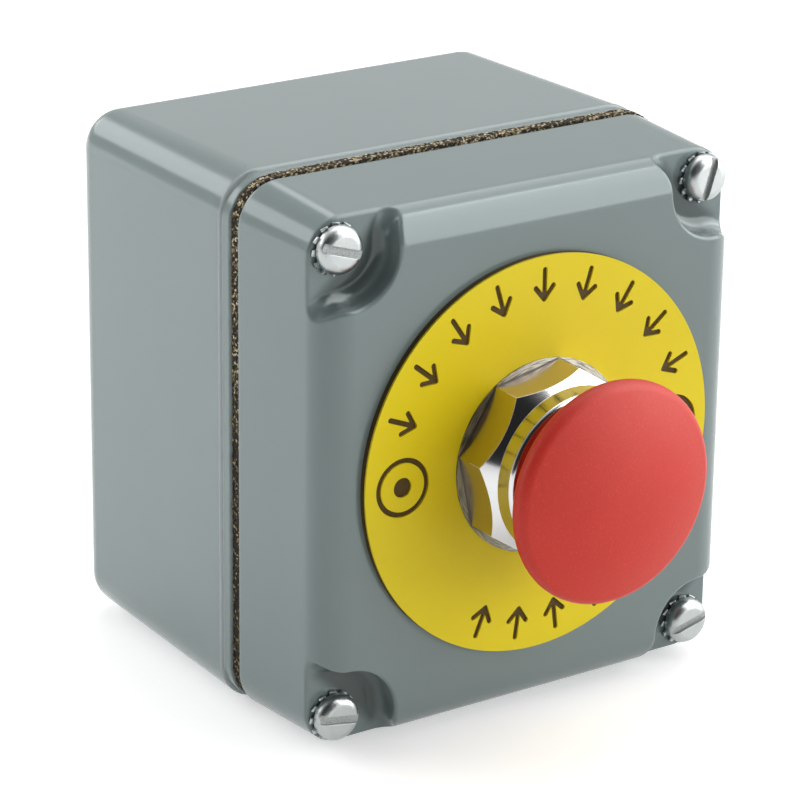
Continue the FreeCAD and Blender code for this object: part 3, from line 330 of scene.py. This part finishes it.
def grey_enamel():
    """Gloss enamel on a casting: orange peel, slow mottling, specks, grime, painted shade in the screw
    pockets and a painted highlight line on the lip.
    """
    paint = Finish("grey_enamel", {"Coat Weight": 0.1, "Coat Roughness": 0.08,
                                   "Specular Tint": (0.90, 1.0, 1.0)})
    mottle = paint.noise(18 * MM, 3.0)
    colour = paint.mix(mottle, (0.168, 0.214, 0.211), (0.184, 0.231, 0.228))
    speck = paint.cells(SPECK_STEP).step(0.016, 0.010) * paint.grain(SPECK_STEP).step(0.7, 0.72)
    colour = paint.mix(speck * 0.7, colour, (0.05, 0.055, 0.055))
    grime = paint.band("Y", JOINT_BACK, JOINT_FRONT) * paint.noise(3 * MM, 4.0).step(0.42, 0.66)
    colour = paint.mix(grime * 0.6, colour, (0.09, 0.095, 0.09))
    # Painted highlight: a pale line along the base's lip, strongest on the left, stands in for light caught
    # by the lip's rounded edge.
    painted_highlight = paint.band("Y", LIP_BACK, LIP_FRONT) * (0.3 + 0.55 * paint.axis("X").step(*LIP_HIGHLIGHT_SIDE))
    colour = paint.mix(painted_highlight, colour, (0.52, 0.57, 0.57))
    # Painted shade darkens each screw pocket beside its screw.
    colour = paint.mix(pocket_painted_shade(paint) * 0.78, colour, (0.03, 0.036, 0.035))
    paint.set({"Base Color": colour, "Roughness": 0.13 + 0.05 * paint.noise(6 * MM) + 0.3 * grime})
    paint.relief(paint.noise(2.6 * MM, 1.0), 0.002 * MM, 0.65 * MM)
    return paint.material


def cork_rubber():
    """Cork granules in dark rubber, with fewer pale ones lower down as painted shade."""
    sheet = Finish("cork_rubber", {"Specular IOR Level": 0.25})
    # Painted shade: fewer pale granules towards the bottom of the gasket.
    grain = sheet.grain(CORK_GRAIN) - 0.22 * sheet.axis("Z").step(*CORK_PAINTED_SHADE)
    stops = [(0.0, (0.010, 0.008, 0.004)), (0.50, (0.022, 0.016, 0.008)), (0.62, (0.10, 0.072, 0.034)),
             (0.74, (0.32, 0.24, 0.12)), (0.88, (0.56, 0.46, 0.28)), (1.0, (0.70, 0.60, 0.42))]
    colour = sheet.ramp(grain, stops)
    granule = sheet.cells(CORK_GRAIN)
    colour = sheet.mix(granule.step(0.35, 0.75) * 0.6, colour, (0.012, 0.010, 0.008))
    sheet.set({"Base Color": colour, "Roughness": 0.72 + 0.2 * sheet.noise(0.4 * MM)})
    sheet.relief(1 - granule + 0.5 * sheet.noise(0.25 * MM), 0.08 * MM)
    return sheet.material


def zinc_steel():
    """Satin zinc plate with a faint blue-green cast, fine scratches and dull screw slots, dirty on their
    floors and with painted shade on their walls.
    """
    plate = Finish("zinc_steel", {})
    cast = plate.noise(2.4 * MM, 3.0)
    colour = plate.mix(cast, (0.40, 0.435, 0.44), (0.495, 0.52, 0.505))
    scratch = plate.noise(0.35 * MM, 3.0, plate.stretched((1.0, 1.0, 0.16))).step(0.56, 0.75)
    floor = plate.facing().step(0.97, 0.99) * plate.axis("Y").step(*SLOT_FLOOR)
    wall = plate.facing().step(0.4, 0.3) * plate.axis("Y").step(*SLOT_WALL)
    grit = plate.noise(0.25 * MM, 3.0).step(0.35, 0.7)
    # Dirt on the slot floors, and painted shade on the slot walls.
    dirt_and_shade = (0.12 + 0.4 * grit) * floor + 0.4 * wall
    colour = plate.mix(dirt_and_shade, colour, (0.11, 0.12, 0.105))
    plate.set({"Base Color": colour, "Metallic": 1 - 0.5 * floor - 0.7 * wall,
               "Roughness": 0.26 + 0.12 * cast + 0.14 * scratch + 0.2 * floor})
    plate.relief(plate.noise(0.5 * MM, 3.0) + 0.3 * scratch, 0.012 * MM, 0.12 * MM)
    return plate.material


def flange_metal(plate, streak):
    """Colour of the nut's dull flange: streaked, with painted light making it paler towards +X, and painted
    shade at the foot of the flats.
    """
    # Painted light: the flange is paler towards +X and darker towards -X.
    painted_shaded = plate.mix(streak, (0.08, 0.075, 0.05), (0.28, 0.26, 0.16))
    painted_lit = plate.mix(streak, (0.13, 0.125, 0.10), (0.44, 0.425, 0.36))
    lit_and_shaded = plate.mix(plate.axis("X").step(*FLANGE_PAINTED_LIGHT), painted_shaded, painted_lit)
    # Painted shade: the flange turns dark at the foot of the flats.
    folded = plate.maths("PINGPONG", plate.turn() - NUT_TURN, NUT_STEP)
    across = plate.radius() * plate.maths("COSINE", folded)
    return plate.mix((across - NUT_FLAT).step(*FLANGE_FOOT) * 0.85, lit_and_shaded, (0.03, 0.03, 0.028))


def chrome_plate():
    """Bright chrome on a turned nut, with a dull flange where it meets the plate, painted light and shade on
    that flange, a painted reflection on its sides and painted highlights on its edges.
    """
    plate = Finish("chrome_plate", {})
    low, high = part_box("bezel_nut")
    height = high.y - plate.axis("Y")
    skirt = ((high.x - low.x) / 2 - plate.radius()) * math.tan(FLANGE_SLOPE)
    flange = (height - FLANGE_EDGE - skirt).step(*FLANGE_SKIN)
    streak = plate.noise(1.0, 4.0, plate.round_axis((STREAKS_ROUND, 1 / STREAK_WIDTH))).step(0.35, 0.62)
    haze = plate.noise(5 * MM, 4.0)
    # Painted reflection: faces that turn sideways, the flats and the cone, are tinted warm for the yellow
    # plate seen in them.
    side = plate.facing().step(0.25, 0.1)
    bright = plate.mix(haze, (0.59, 0.59, 0.595), (0.64, 0.64, 0.645))
    bright = plate.mix(side, bright, (0.56, 0.49, 0.45))
    flat = side * height.step(*FLATS_FRONT)
    # Painted highlight: pale, rough edges away from the back stand in for light caught by the edges.
    painted_highlight = plate.edges(0.2 * MM) * height.step(*EDGES_BACK)
    colour = plate.mix(flange, bright, flange_metal(plate, streak))
    colour = plate.mix(painted_highlight, colour, (0.92, 0.92, 0.92))
    plate.set({"Base Color": colour, "Metallic": 1 - 0.5 * flange,
               "Roughness": 0.11 + 0.05 * haze + 0.1 * flat + 0.2 * flange + 0.4 * painted_highlight})
    plate.relief(flange * streak + 0.01 * haze, 0.03 * MM, 0.16 * MM)
    return plate.material


def yellow_laminate():
    """Satin yellow face of an engraving laminate."""
    face = Finish("yellow_laminate", {"Specular IOR Level": 0.26})
    cloud = face.noise(14 * MM, 3.0)
    colour = face.mix(cloud, (0.745, 0.600, 0.006), (0.785, 0.635, 0.010))
    rub = face.noise(0.9 * MM, 4.0, face.stretched((0.25, 1.0, 1.0))).step(0.6, 0.8)
    face.set({"Base Color": colour, "Roughness": 0.36 + 0.08 * cloud + 0.1 * rub})
    face.relief(face.noise(0.35 * MM, 2.0), 0.004 * MM)
    return face.material


def dark_laminate():
    """Dark core of the laminate, as the cutter left it."""
    core = Finish("dark_laminate", {"Specular IOR Level": 0.2})
    cut = core.noise(0.5 * MM, 4.0)
    colour = core.mix(cut, (0.058, 0.035, 0.008), (0.100, 0.062, 0.016))
    core.set({"Base Color": colour, "Roughness": 0.5 + 0.3 * cut})
    core.relief(cut, 0.03 * MM)
    return core.material


def red_plastic():
    """Moulded red head with a fine satin texture."""
    head = Finish("red_plastic", {"Specular IOR Level": 0.34, "Sheen Weight": 0.01,
                                  "Sheen Roughness": 0.25})
    bloom = head.noise(7 * MM, 4.0)
    colour = head.mix(bloom, (0.525, 0.025, 0.013), (0.570, 0.031, 0.017))
    fleck = head.noise(0.32 * MM, 2.0)
    colour = head.mix(fleck.step(0.52, 0.78) * 0.22, colour, (0.74, 0.13, 0.10))
    head.set({"Base Color": colour, "Roughness": 0.42 + 0.1 * bloom})
    head.relief(fleck + 0.4 * head.noise(0.8 * MM), 0.02 * MM)
    return head.material


def moulding(name, light, dark, size, roughness):
    """Moulded plastic or rubber: two close shades and a fine skin."""
    skin = Finish(name, {})
    patch = skin.noise(size, 3.0)
    fine = skin.noise(0.3 * MM)
    skin.set({"Base Color": skin.mix(patch, light, dark), "Roughness": roughness + 0.12 * fine})
    skin.relief(fine, 0.01 * MM)
    return skin.material


def bare_metal(name, light, dark, roughness):
    """Turned, drawn or stamped metal: fine lines along the work and a mottled shine."""
    metal = Finish(name, {"Metallic": 1.0})
    patch = metal.noise(3 * MM, 3.0)
    line = metal.noise(0.3 * MM, 2.0, metal.stretched((1.0, 0.2, 1.0)))
    metal.set({"Base Color": metal.mix(patch, light, dark), "Roughness": roughness + 0.15 * line})
    metal.relief(line, 0.006 * MM)
    return metal.material


FINISHES = {
    "grey_enamel": grey_enamel(),
    "cork_rubber": cork_rubber(),
    "zinc_steel": zinc_steel(),
    "chrome_plate": chrome_plate(),
    "yellow_laminate": yellow_laminate(),
    "dark_laminate": dark_laminate(),
    "red_plastic": red_plastic(),
    "black_rubber": moulding("black_rubber", (0.020, 0.020, 0.020), (0.034, 0.034, 0.034), 4 * MM, 0.6),
    "black_plastic": moulding("black_plastic", (0.026, 0.026, 0.028), (0.040, 0.040, 0.042), 6 * MM, 0.42),
    "ivory_plastic": moulding("ivory_plastic", (0.58, 0.54, 0.43), (0.64, 0.60, 0.50), 6 * MM, 0.4),
    "zinc_casting": bare_metal("zinc_casting", (0.50, 0.51, 0.52), (0.58, 0.59, 0.60), 0.32),
    "spring_steel": bare_metal("spring_steel", (0.42, 0.42, 0.42), (0.52, 0.52, 0.51), 0.26),
    "turned_steel": bare_metal("turned_steel", (0.54, 0.54, 0.54), (0.62, 0.62, 0.61), 0.22),
    "contact_brass": bare_metal("contact_brass", (0.70, 0.50, 0.18), (0.78, 0.58, 0.25), 0.28),
}


def finish(piece, slot):
    """Give a piece one of the finishes, under the record's name for it."""
    piece.data.materials.clear()
    piece.data.materials.append(FINISHES[slot])
    return piece


for part in frame["record"]["subparts"]:
    finish(frame["nodes"][part["node"]], part["material_slot"])


# Pieces and meshes

def add_piece(name, mesh, slot, body, *nodes):
    """Put a mesh into the scene as a piece that rides on a body and stands for CAD nodes."""
    piece = bpy.data.objects.new(name, mesh)
    bpy.context.scene.collection.objects.link(piece)
    finish(piece, slot)
    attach(piece, body)
    if nodes:
        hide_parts(*nodes)
    return piece


def smooth(mesh, sharp):
    """Shade a mesh smooth, apart from edges that turn by more than an angle in degrees."""
    mesh.shade_smooth()
    mesh.set_sharp_from_angle(angle=math.radians(sharp))
    return mesh


def tube(name, rings, closed):
    """A mesh through rings of equally many points, joined end to end or capped."""
    form = bmesh.new()
    rows = [[form.verts.new(point) for point in ring] for ring in rings]
    pairs = zip(rows, rows[1:] + rows[:1]) if closed else zip(rows, rows[1:])
    for near, far in pairs:
        for place in range(len(near)):
            after = (place + 1) % len(near)
            form.faces.new((near[place], near[after], far[after], far[place]))
    if not closed:
        form.faces.new(rows[0])
        form.faces.new(rows[-1])
    bmesh.ops.recalc_face_normals(form, faces=form.faces)
    mesh = bpy.data.meshes.new(name)
    form.to_mesh(mesh)
    form.free()
    return mesh


def polar(radius, angle):
    """The point at a distance and an angle."""
    return Vector((radius * math.cos(angle), radius * math.sin(angle)))


# Legend plate

def arc(middle, radius, start, turn, steps):
    """Points along an arc, both ends included."""
    return [middle + polar(radius, start + turn * step / steps) for step in range(steps + 1)]


def round_outline(middle, radius, steps):
    """Points round a circle."""
    return arc(middle, radius, 0.0, math.tau, steps)[:-1]


def arrow_outline(tip, towards, length):
    """Outline of an engraved arrow of round-ended strokes, from its tip back along its shaft."""
    half = STROKE / 2
    sine, cosine = math.sin(BARB_ANGLE), math.cos(BARB_ANGLE)
    inner = half * (1 + cosine) / sine
    corner = Vector((half, inner * cosine + half * sine))
    barb = Vector((BARB_LENGTH * sine, BARB_LENGTH * cosine))
    right = arc(Vector((0.0, length)), half, math.pi / 2, -math.pi / 2, TAIL_STEPS)
    right += [corner]
    right += arc(barb, half, math.pi - BARB_ANGLE, -math.pi, BARB_STEPS)
    right += arc(Vector((0.0, 0.0)), half, -BARB_ANGLE, BARB_ANGLE - math.pi / 2, TIP_STEPS)
    left = [Vector((-point.x, point.y)) for point in reversed(right[1:-1])]
    across = Vector((towards.y, -towards.x))
    return [tip + across * point.x + towards * point.y for point in right + left]


def legend_outlines():
    """The plate's rim and bore, and the engraved marks between them."""
    low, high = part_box("legend_face")
    rim = (high.x - low.x) / 2
    centre = Vector((0.0, 0.0))
    outlines = [round_outline(centre, rim, RIM_STEPS), round_outline(centre, PLATE_BORE, BORE_STEPS)]
    for middle, count, step in ((math.pi / 2, TOP_MARKS, TOP_STEP), (-math.pi / 2, LOW_MARKS, LOW_STEP)):
        for place in range(count):
            angle = middle + step * (place - (count - 1) / 2)
            tip = polar(BAND_INNER + STROKE / 2, angle)
            outlines.append(arrow_outline(tip, polar(1.0, angle), BAND_OUTER - BAND_INNER - STROKE))
    for side in (-1, 1):
        middle = Vector((side * RING_PLACE, 0.0))
        for radius in (RING_RADIUS, RING_RADIUS - STROKE, RING_DOT):
            outlines.append(round_outline(middle, radius, RING_STEPS))
    return outlines


def make_legend_face():
    """The yellow layer, engraved right through so that the dark core shows."""
    low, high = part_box("legend_face")
    curve = bpy.data.curves.new("legend_outline", "CURVE")
    curve.dimensions = "2D"
    curve.fill_mode = "BOTH"
    curve.extrude = (high.y - low.y) / 2
    for outline in legend_outlines():
        spline = curve.splines.new("POLY")
        spline.points.add(len(outline) - 1)
        for point, spot in zip(spline.points, outline):
            point.co = (spot.x, spot.y, 0.0, 1.0)
        spline.use_cyclic_u = True
    drawn = bpy.data.objects.new("legend_outline", curve)
    mesh = bpy.data.meshes.new_from_object(drawn)
    bpy.data.objects.remove(drawn)
    upright = Matrix.Rotation(math.pi / 2, 4, "X")
    mesh.transform(Matrix.Translation((0.0, (low.y + high.y) / 2, 0.0)) @ upright)
    add_piece("legend_face_engraved", smooth(mesh, 30), "yellow_laminate", "enclosure", "legend_face")


# Nut and head

def fresh_mesh(node):
    """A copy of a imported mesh, without its stored shading."""
    mesh = frame["nodes"][node].data.copy()
    mesh.attributes.remove(mesh.attributes["custom_normal"])
    return mesh


def make_nut():
    """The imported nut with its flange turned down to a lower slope."""
    low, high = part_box("bezel_nut")
    rim = (high.x - low.x) / 2
    mesh = fresh_mesh("bezel_nut")
    for vertex in mesh.vertices:
        inset = rim - Vector((vertex.co.x, vertex.co.z)).length
        height = high.y - FLANGE_EDGE - vertex.co.y
        if inset > 0 and abs(height - inset * math.tan(PACKED_SLOPE)) < FLANGE_TOLERANCE:
            vertex.co.y = high.y - FLANGE_EDGE - inset * math.tan(FLANGE_SLOPE)
    add_piece("bezel_nut_turned", smooth(mesh, 25), "chrome_plate", "enclosure", "bezel_nut")


def make_head():
    """The red head, shaded evenly over its dome."""
    mesh = smooth(fresh_mesh("mushroom_head"), 30)
    add_piece("mushroom_head_moulded", mesh, "red_plastic", "button", "mushroom_head")


# Gasket

def frame_outline(half_width, half_height, corner, step):
    """Places along a rounded rectangle, each with its outward direction."""
    stations = []
    turns = ((1, 1), (-1, 1), (-1, -1), (1, -1))
    for quarter, (side, level) in enumerate(turns):
        middle = Vector((side * (half_width - corner), level * (half_height - corner)))
        bend = math.ceil(corner * math.pi / 2 / step)
        for place in range(bend + 1):
            away = polar(1.0, math.pi / 2 * (quarter + place / bend))
            stations.append((middle + away * corner, away))
        run = 2 * (half_width - corner) if quarter % 2 == 0 else 2 * (half_height - corner)
        onward = Vector((-away.y, away.x))
        count = math.ceil(run / step)
        for place in range(1, count):
            stations.append((middle + away * corner + onward * run * place / count, away))
    return stations


def crumb(point):
    """How far the cork stands out at a place: soft waves and single grains."""
    wave = noise.noise(point / WAVE_SIZE)
    grain = noise.cell(point / CRUMB_SIZE)
    return CRUMB_REACH * (1.0 + WAVE_SHARE * wave + GRAIN_SHARE * grain)


def make_gasket():
    """The cork frame, crumbling along its edge where the cover squeezes it out."""
    low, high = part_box("gasket")
    rings = []
    for place, away in frame_outline(high.x, high.z, GASKET_CORNER, CRUMB_STEP):
        bulge = CRUMB_RISE * max(away.y, 0.0) * (1 - (place.x / high.x) ** 2)
        ring = []
        for row in range(CRUMB_ROWS + 1):
            depth = low.y + (high.y - low.y) * row / CRUMB_ROWS
            reach = crumb(Vector((place.x, depth, place.y))) + bulge
            spot = place + away * reach + GASKET_SLIP
            ring.append((spot.x, depth, spot.y))
        root = place - away * GASKET_WIDTH + GASKET_SLIP
        ring += [(root.x, high.y, root.y), (root.x, low.y, root.y)]
        rings.append(ring)
    mesh = smooth(tube("gasket_crumbled", rings, True), 40)
    add_piece("gasket_crumbled", mesh, "cork_rubber", "enclosure", "gasket")


# Cover screws' washers

def washer_column(middle, depth, turn, offset):
    """Places from a washer's bore to a tooth's tip, along one edge of the tooth or its middle."""
    along, across = polar(1.0, turn), polar(1.0, turn + math.pi / 2)
    rows = [(WASHER_BORE, offset * WASHER_BORE / WASHER_ROOT, 0.0)]
    for share in (0.0, 0.5, 1.0):
        twist = TOOTH_TWIST * share
        reach = WASHER_ROOT + (WASHER_TIP - WASHER_ROOT) * share
        rows.append((reach, offset * math.cos(twist), offset * math.sin(twist)))
    places = []
    for reach, aside, lift in rows:
        spot = middle + along * reach + across * aside
        places.append((spot.x, depth + lift, spot.y))
    return places


def washer_sheet(form, middle, depth):
    """One washer as a sheet: a ring with teeth that twist more towards their tips."""
    columns = []
    for tooth in range(WASHER_TEETH):
        turn = math.tau * tooth / WASHER_TEETH
        for offset in (-TOOTH_HALF, 0.0, TOOTH_HALF):
            places = washer_column(middle, depth, turn, offset)
            columns.append([form.verts.new(place) for place in places])
    for place, column in enumerate(columns):
        after = columns[(place + 1) % len(columns)]
        # Only the ring joins one tooth to the next
        rows = 1 if place % 3 == 2 else 3
        for row in range(rows):
            form.faces.new((column[row], after[row], after[row + 1], column[row + 1]))


def make_lock_washers():
    """The four toothed washers, with their teeth bent out of the sheet."""
    low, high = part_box("lock_washers")
    depth = (low.y + high.y) / 2 - WASHER_LIFT
    form = bmesh.new()
    for side in (low.x + WASHER_RIM, high.x - WASHER_RIM):
        for level in (low.z + WASHER_RIM, high.z - WASHER_RIM):
            washer_sheet(form, Vector((side, level)) + WASHER_SLIP, depth)
    mesh = bpy.data.meshes.new("lock_washers_twisted")
    form.to_mesh(mesh)
    form.free()
    washers = add_piece("lock_washers_twisted", smooth(mesh, 50), "zinc_steel", "enclosure", "lock_washers")
    sheet = washers.modifiers.new("sheet", "SOLIDIFY")
    sheet.thickness = WASHER_SHEET
    sheet.offset = 0.0
    edge = washers.modifiers.new("edge", "BEVEL")
    edge.width = WASHER_EDGE
    edge.segments = 2


# Contact springs

def make_contact_springs():
    """The coils over the two contact plungers, copied as they were imported; the real coils shorten as the
    button goes in.
    """
    for hand in ("left", "right"):
        node = f"{hand}_contact_spring"
        coil = frame["nodes"][node].data.copy()
        piece = add_piece(f"{hand}_contact_coil", coil, "spring_steel", "enclosure", node)
        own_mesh(piece)


# Cable entry

def make_entry_thread():
    """The machined thread in the underside's cable entry, sunk into the bore at both ends."""
    last = THREAD_TURNS * THREAD_STEPS
    rings = []
    for step in range(last + 1):
        turn = math.tau * step / THREAD_STEPS
        height = THREAD_START + THREAD_PITCH * step / THREAD_STEPS
        fade = min(1.0, step / THREAD_FADE, (last - step) / THREAD_FADE)
        ring = []
        for inward, rise in THREAD_PROFILE:
            share = inward if inward < 0 else THREAD_SUNK + (inward - THREAD_SUNK) * fade
            spot = polar(ENTRY_RADIUS - share * THREAD_HEIGHT, turn)
            ring.append((spot.x, spot.y - ENTRY_OUT, height + rise * THREAD_PITCH))
        rings.append(ring)
    add_piece("entry_thread", smooth(tube("entry_thread", rings, False), 20), "zinc_casting", "enclosure")


make_legend_face()
make_nut()
make_head()
make_gasket()
make_lock_washers()
make_contact_springs()
make_entry_thread()


# Stage, light and camera

def make_camera():
    """The photograph's viewpoint."""
    azimuth, elevation, roll = (math.radians(angle) for angle in (VIEW_AZIMUTH, VIEW_ELEVATION, VIEW_ROLL))
    back = Vector((math.sin(azimuth) * math.cos(elevation), -math.cos(azimuth) * math.cos(elevation),
                   math.sin(elevation)))
    right = Vector((math.cos(azimuth), math.sin(azimuth), 0.0))
    up = back.cross(right)
    across = math.cos(roll) * right + math.sin(roll) * up
    upright = math.cos(roll) * up - math.sin(roll) * right
    lens = bpy.data.cameras.new("camera")
    lens.lens = VIEW_LENS
    lens.sensor_width = SENSOR_WIDTH
    camera = bpy.data.objects.new("camera", lens)
    bpy.context.scene.collection.objects.link(camera)
    aim = Matrix((across, upright, back)).transposed().to_4x4()
    camera.matrix_world = Matrix.Translation(VIEW_PLACE) @ aim
    bpy.context.scene.camera = camera


def softbox(name, place, size, power, lights=True, shows=True):
    """A rectangle that faces the box: it lights dull surfaces, shows in shiny ones, or both."""
    lamp = bpy.data.lights.new(name, "AREA")
    lamp.shape = "RECTANGLE"
    lamp.size, lamp.size_y = size
    lamp.energy = power
    light = bpy.data.objects.new(name, lamp)
    bpy.context.scene.collection.objects.link(light)
    light.location = place
    light.rotation_euler = (-Vector(place)).to_track_quat("-Z", "Y").to_euler()
    light.visible_camera = False
    light.visible_diffuse = lights
    light.visible_glossy = shows


def make_floor():
    """A plain pale floor under the box, white to the camera where the box doesn't shade it."""
    level = cad_box[0].z
    mesh = bpy.data.meshes.new("floor")
    corners = [(x * FLOOR_EDGE, y * FLOOR_EDGE, level) for x, y in ((-1, -1), (1, -1), (1, 1), (-1, 1))]
    mesh.from_pydata(corners, [], [(0, 1, 2, 3)])
    floor = bpy.data.objects.new("floor", mesh)
    bpy.context.scene.collection.objects.link(floor)
    pale = Finish("pale_floor", {"Roughness": 0.9, "Specular IOR Level": 0.0, "Emission Strength": 1.0})
    away = pale.node("ShaderNodeVectorMath", {"operation": "LENGTH"}, {0: pale.place}, "Value")
    lift = pale.mix(away.step(*FLOOR_FADE), (FLOOR_LIFT,) * 3, (FAR_LIFT,) * 3)
    pale.set({"Base Color": pale.mix(pale.noise(0.3), (0.84, 0.84, 0.84), (0.86, 0.86, 0.86)),
              "Emission Color": pale.mix(pale.seen(), (0.0, 0.0, 0.0), lift)})
    mesh.materials.append(pale.material)


def make_world():
    """White behind the box, and a studio that is darker towards the camera's side."""
    world = bpy.data.worlds.new("studio")
    bpy.context.scene.world = world
    world.use_nodes = True
    studio = Nodes(world.node_tree)
    way = studio.node("ShaderNodeTexCoord", output="Generated")
    shade = 1 - UNLIT_SHARE * studio.agree(way, UNLIT_SIDE).step(*UNLIT_FADE)
    seen = studio.maths("MAXIMUM", studio.ray("Camera"), studio.ray("Transmission"))
    level = shade * (WALL_LIGHT + (WALL_MIRROR - WALL_LIGHT) * studio.ray("Glossy"))
    background = world.node_tree.nodes["Background"]
    studio.feed(background.inputs["Color"], (1.0, 1.0, 1.0))
    studio.feed(background.inputs["Strength"], seen + (1 - seen) * level)


make_camera()
make_floor()
make_world()
softbox("roof_light", (0.4, 0.3, 0.95), (1.1, 1.0), 6.5)
softbox("left_light", (-0.75, 0.8, 0.35), (1.5, 1.2), 10.1, shows=False)
softbox("front_light", (0.25, -1.08, 0.3), (1.3, 0.6), 5.1, shows=False)
softbox("strip_light", (-0.55, 0.85, 0.5), (1.3, 0.4), 4.5)
softbox("right_light", (0.8, -0.64, 0.45), (1.0, 1.2), 2.4, shows=False)
softbox("right_card", (0.74, -0.66, 0.6), (1.0, 1.65), 25.0, lights=False)
softbox("side_light", (1.0, -0.2, 0.42), (0.9, 0.8), 3.9)
bpy.context.scene.view_settings.view_transform = "Standard"
